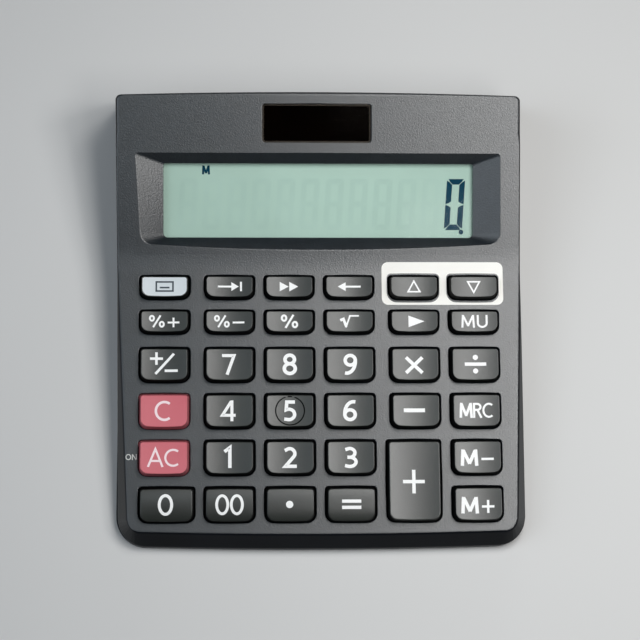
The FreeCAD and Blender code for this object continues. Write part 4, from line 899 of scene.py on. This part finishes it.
def placed_sign(sign, scale, shift, thick):
    """Ribbons of one sign, scaled and shifted."""
    return [(ribbon(points * scale + shift, thick, closed), closed) for points, closed in GLYPHS[sign][0]]


def bars(*lines, thick):
    """Ribbons along plain bent lines."""
    return [(ribbon(np.array(points, float), thick), False) for points in lines]


def outlined(*corners, thick):
    """A closed ribbon round some corners."""
    return [(ribbon(np.array(corners, float), thick, True), True)]


BIG_M = placed_sign("M", (5.6, 5.1), (-5.2, -2.55), 1.05) + bars(((1.15, -0.4), (4.95, -0.4)), thick=0.72)
# Ribbons of each legend, in millimetres round the key's middle.
LEGENDS = {
    "0": word("0", 6.6, 0.9, 0, 1.08),
    "1": word("1", 6.4, 1.05),
    "2": word("2", 6.4, 1.05),
    "3": word("3", 6.5, 1.05, 0, 1.07),
    "4": word("4", 6.5, 0.92),
    "5": word("5", 6.4, 1.05),
    "6": word("6", 6.5, 1.08, 0, 1.08),
    "7": word("7", 6.5, 0.96),
    "8": word("8", 6.8, 1.12),
    "9": word("9", 6.5, 1.08, 0, 1.05),
    "00": word("00", 6.4, 0.85, 0.10),
    "C": word("C", 6.4, 0.78, 0, 1.03),
    "AC": word("AC", 5.65, 0.66, 0.05, 1.07),
    "MRC": word("MRC", 4.7, 0.8, 0.04, 0.9, (0.8, 0.66, 0.62)),
    "MU": word("MU", 4.05, 0.62, 0.14, 1.13),
    "M-": BIG_M,
    "M+": BIG_M + bars(((3.05, -2.4), (3.05, 1.6)), thick=0.72),
    "plus": bars(((-3.35, 0.0), (3.35, 0.0)), ((0.0, -3.65), (0.0, 3.65)), thick=1.05),
    "minus": bars(((-3.3, 0.0), (3.3, 0.0)), thick=1.2),
    "times": bars(((-2.55, -2.45), (2.55, 2.45)), ((-2.55, 2.45), (2.55, -2.45)), thick=1.08),
    "divide": bars(((-3.35, 0.0), (3.35, 0.0)), thick=1.05) + [
        (disc(0, 2.15, 0.82), True), (disc(0, -2.15, 0.82), True)],
    "equals": bars(((-2.95, 0.95), (2.95, 0.95)), ((-2.95, -0.95), (2.95, -0.95)), thick=1.0),
    "point": [(disc(0, 0, 1.12), True)],
    "sign": bars(((-4.4, 1.95), (-0.4, 1.95)), ((-2.4, 0.0), (-2.4, 3.95)), ((0.15, -1.85), (4.2, -1.85)),
                 ((-2.7, -2.85), (3.0, 3.5)), thick=0.8),
    "percent": word("%", 4.2, 0.66, 0.1, 1.2),
    "percent_plus": word("%+", 3.8, 0.6, 0.28, 1.2),
    "percent_minus": word("%-", 3.8, 0.6, 0.28, 1.2),
    "root": bars(((-2.9, 0.3), (-1.9, 0.75), (-1.0, -1.75)), thick=0.85) + bars(
        ((-1.15, -1.95), (0.15, 1.75), (2.95, 1.75)), thick=0.5),
    "play": [(filled((-2.3, -1.85), (-2.3, 1.85), (2.7, 0.0)), False)],
    "up": outlined((-1.85, -1.6), (1.85, -1.6), (0.0, 1.8), thick=0.48),
    "down": outlined((-1.85, 1.6), (0.0, -1.8), (1.85, 1.6), thick=0.48),
    "go_to": bars(((-3.6, 0.0), (1.6, 0.0)), ((3.6, -1.5), (3.6, 1.5)), thick=0.6) + [
        (filled((0.6, -1.4), (0.6, 1.4), (2.9, 0.0)), False)],
    "forward": [(filled((-3.0, -1.5), (-3.0, 1.5), (-0.2, 0.0)), False),
                (filled((0.0, -1.5), (0.0, 1.5), (2.8, 0.0)), False)],
    "back": bars(((-1.6, 0.0), (3.6, 0.0)), thick=0.6) + [
        (filled((-1.1, 1.4), (-1.1, -1.4), (-3.6, 0.0)), False)],
    "screen": outlined((-2.6, -1.45), (2.6, -1.45), (2.6, 1.45), (-2.6, 1.45), thick=0.5) + bars(
        ((-1.5, -0.35), (1.5, -0.35)), thick=0.5),
}
# Legends that aren't printed on the very middle of their key.
LEGEND_SHIFT = {
    "key_plus": (-0.28, -0.3), "key_minus": (-0.55, 0.05), "key_3": (-0.1, 0.0), "key_sign": (0.0, -0.15),
    "key_7": (-0.35, 0.0), "key_4": (-0.3, 0.0), "key_1": (-0.6, 0.0), "key_0": (-0.27, 0.0),
    "key_6": (-0.25, 0.0), "key_clear": (-0.25, 0.0), "key_play": (0.4, 0.0),
    "key_times": (-0.35, -0.3), "key_memory_minus": (0.0, -0.2), "key_memory_plus": (-0.15, -0.4),
    "key_point": (-0.3, 0.0),
}
INKS = {"light": INK_DARK, "red": INK_ROSE, "dark": INK_WHITE}
# Height of a print over what it is printed on, and of each stroke of a legend over the one before.
PRINT_LIFT, STROKE_LIFT = 0.02, 0.001


def build_legend(name, colour, sign):
    """A key's printed legend, laid just above the key's curved top."""
    skin = Skin()
    move = LEGEND_SHIFT.get(name, (0.0, 0.0))
    over = 0.06 if colour == "light" else PRINT_LIFT
    for n, (rows, closed) in enumerate(LEGENDS[sign]):
        moved = [row + move + CREST_SHIFT for row in rows]
        skin.grid([on_key(name, row, key_top(name, row) + over + STROKE_LIFT * n) for row in moved],
                  closed=closed)
    return skin.piece(name + "_legend", INKS[colour], name, weld=0)


def build_ring():
    """The thin groove line round the 5, drawn as painted shade: a dark ring laid 0.012 mm above the key."""
    skin = Skin()
    rows = [row + CREST_SHIFT for row in ribbon(round_stroke(0, 0, 4.45, 4.45, 60)[0], 0.4, True)]
    skin.grid([on_key("key_5", row, key_top("key_5", row) + 0.012) for row in rows])
    return skin.piece("key_5_ring", GROOVE_SHADE, "key_5", weld=0)


# Prints, the display and small parts.

PANEL_BOX = (19.7, 58.05, 72.25, 85.98)


def build_panel():
    """The pale printed field round the two step keys, open where the keys pass."""
    skin = Skin()
    left, right, bottom, top = PANEL_BOX
    middle = COLUMN_EDGES[5]
    for name, a, b in (("key_step_up", left, middle), ("key_step_down", middle, right)):
        cx, cy, half, half_high = key_place(name)
        corner = quarters((b - a) / 2, (top - bottom) / 2, 2.0, 2.0) + ((a + b) / 2, (bottom + top) / 2)
        outer_side = corner[:, 0] < (a + b) / 2 if a == left else corner[:, 0] > (a + b) / 2
        edge = np.where(outer_side[:, None], corner, frame_loop(a, b, bottom, top))
        hole = quarters(half + 0.3, half_high + 0.3, 2.9, 1.3, 0.25, 0.15) + (cx, cy)
        skin.grid([lifted(edge * (1 - share) + hole * share, PRINT_LIFT)
                   for share in (0.0, *np.linspace(0.2, 1.0, 5))])
    return skin.piece("printed_panel", PANEL_INK, "case")


def build_on_print():
    """The word ON printed beside the key that wakes the display."""
    skin = Skin()
    for rows, closed in word("ON", 1.85, 0.27, 0.10, 1.12):
        skin.grid([lifted(row + (-58.5, 24.2), PRINT_LIFT) for row in rows], closed=closed)
    return skin.piece("on_print", INK_FACE, "case", weld=0)


# The display's marks lie over the glass. A digit's width, height, stroke and slant, its place and its step.
GLASS_TOP = -5.3
MARK_LIFT, GHOST_LIFT = 0.03, 0.015
DIGIT_WIDE, DIGIT_HIGH, DIGIT_THICK, DIGIT_LEAN = 5.8, 16.2, 1.75, 0.062
DIGIT_PLACE = (39.95, 9.7)
DIGIT_STEP = 7.7
POINT = (45.45, 9.05, 0.76)


def segment(letter):
    """One display segment as its outer line, its middle line and its inner line, with mitred ends."""
    wide, high, thick, cut, gap, middle = DIGIT_WIDE, DIGIT_HIGH, DIGIT_THICK, 0.45, 0.12, DIGIT_HIGH / 2
    top = [
        [(cut, high), (wide - cut, high)],
        [(thick / 2 + gap, high - thick / 2), (wide - thick / 2 - gap, high - thick / 2)],
        [(thick + gap, high - thick), (wide - thick - gap, high - thick)],
    ]
    side = [
        [(0, high - cut), (0, middle + gap)],
        [(thick / 2, high - thick / 2 - gap), (thick / 2, middle + 0.4)],
        [(thick, high - thick - gap), (thick, middle + thick / 2 + 0.1)],
    ]
    bridge = [
        [(thick + 0.1, middle + thick / 2), (wide - thick - 0.1, middle + thick / 2)],
        [(0.5, middle), (wide - 0.5, middle)],
        [(thick + 0.1, middle - thick / 2), (wide - thick - 0.1, middle - thick / 2)],
    ]
    shape = np.array({"a": top, "d": top, "g": bridge}.get(letter, side), float)
    if letter in "bc":
        shape[..., 0] = wide - shape[..., 0]
    if letter in "cde":
        shape[..., 1] = high - shape[..., 1]
    return shape


def add_digit(skin, shown, places, lift):
    """The segments of a digit that are shown, slanted to the right, some places left of the last digit."""
    across, low = DIGIT_PLACE
    across -= DIGIT_STEP * places
    for letter in shown:
        shape = segment(letter)
        shape[..., 0] += across + DIGIT_LEAN * shape[..., 1]
        shape[..., 1] += low
        skin.grid([on_display(row, lift) for row in shape], closed=False)


def on_display(points, lift):
    """Points of the display's flat pattern at a height over the glass."""
    return on_sheet(points[:, 0], points[:, 1] + DISPLAY_START, GLASS_TOP + lift)


def build_digits():
    """The display's dark marks: a nought with its point at the right, and a small memory mark at the left."""
    skin = Skin()
    add_digit(skin, "abcdef", 0, MARK_LIFT)
    skin.grid([on_display(row, MARK_LIFT) for row in disc(*POINT)])
    for rows, closed in placed_sign("M", (2.35, 2.85), (-36.7, 27.15), 0.66):
        skin.grid([on_display(row, MARK_LIFT) for row in rows], closed=closed)
    return skin.piece("display_marks", SEGMENT, "case", weld=0)


def build_ghosts():
    """The faint marks of the unlit segments of the other eleven digits."""
    skin = Skin()
    for places in range(1, 12):
        add_digit(skin, "abcdefg", places, GHOST_LIFT)
    return skin.piece("display_ghosts", GHOST, "case", weld=0)


def build_solar_cells():
    """The four dark cells behind the solar window, with narrow lines between them."""
    skin = Skin()
    left, right, bottom, top = SOLAR_BOX
    margin, gap = 0.8, 0.12
    step = (right - left - 2 * margin) / 4
    for n in range(4):
        start = left + margin + n * step + gap
        x = np.linspace(start, start + step - 2 * gap, 4)
        rows = [on_sheet(x, bottom + margin + (top - bottom - 2 * margin) * share, -1.78)
                for share in (0.0, 0.5, 1.0)]
        skin.grid(rows, closed=False)
    return skin.piece("solar_cell_strips", SOLAR, "case")


# The materials of the CAD pieces that keep their own meshes.
NODE_LOOKS = {
    "lower_case": UNDER, "display_window": LENS, "display_gasket": FOAM, "display_glass": DISPLAY,
    "display_reflector": FOIL, "display_holder": BLACK, "display_film": FILM, "main_board": BOARD,
    "dome_sheet": DOME, "chip_cap": BLACK, "board_parts": BLACK, "solar_window": SOLAR_LENS,
    "solar_panel": SOLAR, "solar_leads": LEAD, "case_screws": STEEL, "rubber_feet": RUBBER,
    "button_cell": STEEL, "cell_contact_minus": GOLD, "cell_contact_plus": GOLD, "cell_leads": LEAD,
}


def dress_nodes():
    """Gives each CAD piece that stays its material."""
    for name, look in NODE_LOOKS.items():
        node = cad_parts[name]
        node.data.materials.clear()
        node.data.materials.append(look)


# Floor, light and camera, in metres.

FLOOR_HALF = 12.0
# From the first distance to the second one, the floor's own shading gives way to an even colour.
FLOOR_NEAR, FLOOR_FAR = 0.17, 0.45


def floor_material():
    """The pale floor: near the object its light and shadow show, and far from it one even pale colour.

    The even colour's share is a smooth step of the distance for camera, glossy and transmission rays, and
    nothing for the others.
    """
    made = material("pale_floor", (212, 212, 211), (215, 215, 214), 0.85, mottle=3.0, specular=0.1)
    nodes, links = made.node_tree.nodes, made.node_tree.links
    place = new_node(nodes, "TexCoord")
    reach = new_node(nodes, "VectorMath")
    reach.operation = "LENGTH"
    far = new_node(nodes, "MapRange")
    far.interpolation_type = "SMOOTHSTEP"
    far.inputs["From Min"].default_value = FLOOR_NEAR
    far.inputs["From Max"].default_value = FLOOR_FAR
    rays = new_node(nodes, "LightPath")
    seen = rays.outputs["Is Camera Ray"]
    for kind in ("Is Glossy Ray", "Is Transmission Ray"):
        either = new_node(nodes, "Math")
        either.operation = "MAXIMUM"
        links.new(seen, either.inputs[0])
        links.new(rays.outputs[kind], either.inputs[1])
        seen = either.outputs["Value"]
    share = new_node(nodes, "Math")
    share.operation = "MULTIPLY"
    glow = new_node(nodes, "Emission", Color=tint(198, 200, 202))
    blend = new_node(nodes, "MixShader")
    links.new(place.outputs["Object"], reach.inputs[0])
    links.new(reach.outputs["Value"], far.inputs["Value"])
    links.new(seen, share.inputs[0])
    links.new(far.outputs["Result"], share.inputs[1])
    links.new(share.outputs["Value"], blend.inputs["Fac"])
    links.new(nodes["Principled BSDF"].outputs["BSDF"], blend.inputs[1])
    links.new(glow.outputs["Emission"], blend.inputs[2])
    links.new(blend.outputs["Shader"], nodes["Material Output"].inputs["Surface"])
    return made


def build_stage():
    """A plain pale floor under the feet."""
    corners = [(x * FLOOR_HALF, y * FLOOR_HALF, 0) for x, y in ((-1, -1), (1, -1), (1, 1), (-1, 1))]
    mesh = bpy.data.meshes.new("floor")
    mesh.from_pydata(corners, [], [(0, 1, 2, 3)])
    mesh.materials.append(floor_material())
    floor = bpy.data.objects.new("floor", mesh)
    bpy.context.scene.collection.objects.link(floor)


def turned(right, up, ahead, place):
    """The matrix of a camera or a lamp at a place that looks ahead."""
    rows = [(right[n], up[n], -ahead[n], place[n]) for n in range(3)]
    return Matrix((*rows, (0, 0, 0, 1)))


# Name, place, aim, side of the square, power in watts and colour. Five near lamps hang over the object, a
# large cool one and a larger side one shine from the left, and a low one from the rear.
WARM, COOL = (1.0, 0.995, 0.985), (0.82, 0.92, 1.0)
LAMPS = (
    ("right_light", (0.2, -0.02, 0.4), (0.2, -0.019, 0.0), 0.13, 0.64, WARM),
    ("rear_right_light", (0.08, 0.1, 0.4), (0.08, 0.101, 0.0), 0.12, 0.5, WARM),
    ("front_right_light", (0.12, -0.15, 0.4), (0.12, -0.149, 0.0), 0.12, 0.35, WARM),
    ("middle_light", (0.06, -0.02, 0.4), (0.06, -0.019, 0.0), 0.07, 0.06, WARM),
    ("near_left_light", (-0.08, 0.0, 0.4), (-0.08, 0.001, 0.0), 0.12, 0.055, (0.78, 0.92, 1.0)),
    ("left_light", (-0.55, -0.08, 0.75), (0.0, 0.0, 0.02), 0.5, 1.5, COOL),
    ("side_light", (-1.2, -0.3, 0.62), (0.0, -0.03, 0.02), 1.2, 3.2, (0.86, 0.9, 1.0)),
    ("rear_light", (0.25, 1.2, 0.26), (0.0, 0.0, 0.02), 0.5, 1.4, (0.95, 0.97, 1.0)),
)


def build_light():
    """Soft square lamps, the strongest near ones at the right, and a surround that is nearly dark."""
    for name, place, aim, size, power, colour in LAMPS:
        data = bpy.data.lights.new(name, "AREA")
        data.shape = "SQUARE"
        data.size = size
        data.energy = power
        data.color = colour
        light = bpy.data.objects.new(name, data)
        bpy.context.scene.collection.objects.link(light)
        ahead = np.array(aim, float) - np.array(place, float)
        ahead /= np.linalg.norm(ahead)
        side = np.cross(ahead, (0, 0, 1.0))
        side /= np.linalg.norm(side)
        light.matrix_world = turned(side, np.cross(side, ahead), ahead, place)
    world = bpy.data.worlds.new("surround")
    world.use_nodes = True
    world.node_tree.nodes["Background"].inputs["Color"].default_value = (0.9, 0.94, 1.0, 1)
    world.node_tree.nodes["Background"].inputs["Strength"].default_value = 0.01
    bpy.context.scene.world = world


# The camera's turns about X, Y and Z and its place against a point of the key face, in millimetres.
CAMERA_TURNS = (0.2037, -0.0434, -0.0001)
CAMERA_SHIFT = np.array([-0.1731, 0.6335, 689.766])
CAMERA_POINT = 68.02


def place_camera():
    """The camera of the photograph. Its own axes are Rz Ry Rx times those of the key face."""
    a, b, c = CAMERA_TURNS
    rx = np.array([[1, 0, 0], [0, math.cos(a), -math.sin(a)], [0, math.sin(a), math.cos(a)]])
    ry = np.array([[math.cos(b), 0, math.sin(b)], [0, 1, 0], [-math.sin(b), 0, math.cos(b)]])
    rz = np.array([[math.cos(c), -math.sin(c), 0], [math.sin(c), math.cos(c), 0], [0, 0, 1]])
    turn = rz @ ry @ rx
    centre = -turn.T @ CAMERA_SHIFT
    axes = np.array([[1, 0, 0], [0, math.cos(KEY_TILT), math.sin(KEY_TILT)],
                     [0, math.sin(KEY_TILT), -math.cos(KEY_TILT)]]).T
    place = FACE_START + axes[:, 1] * CAMERA_POINT + axes @ centre
    data = bpy.data.cameras.new("camera")
    data.lens = 123.75
    data.sensor_width = 36.0
    data.clip_start = 0.01
    data.clip_end = 20.0
    camera = bpy.data.objects.new("camera", data)
    camera.matrix_world = turned(axes @ turn[0], axes @ turn[1], axes @ turn[2], place * MM)
    bpy.context.scene.collection.objects.link(camera)
    bpy.context.scene.camera = camera


build_upper_case()
for key_name, (_, _, key_colour, key_sign) in KEYS.items():
    build_key(key_name, key_colour)
    build_legend(key_name, key_colour, key_sign)
build_ring()
build_panel()
build_on_print()
build_digits()
build_ghosts()
build_solar_cells()
dress_nodes()
build_stage()
build_light()
place_camera()
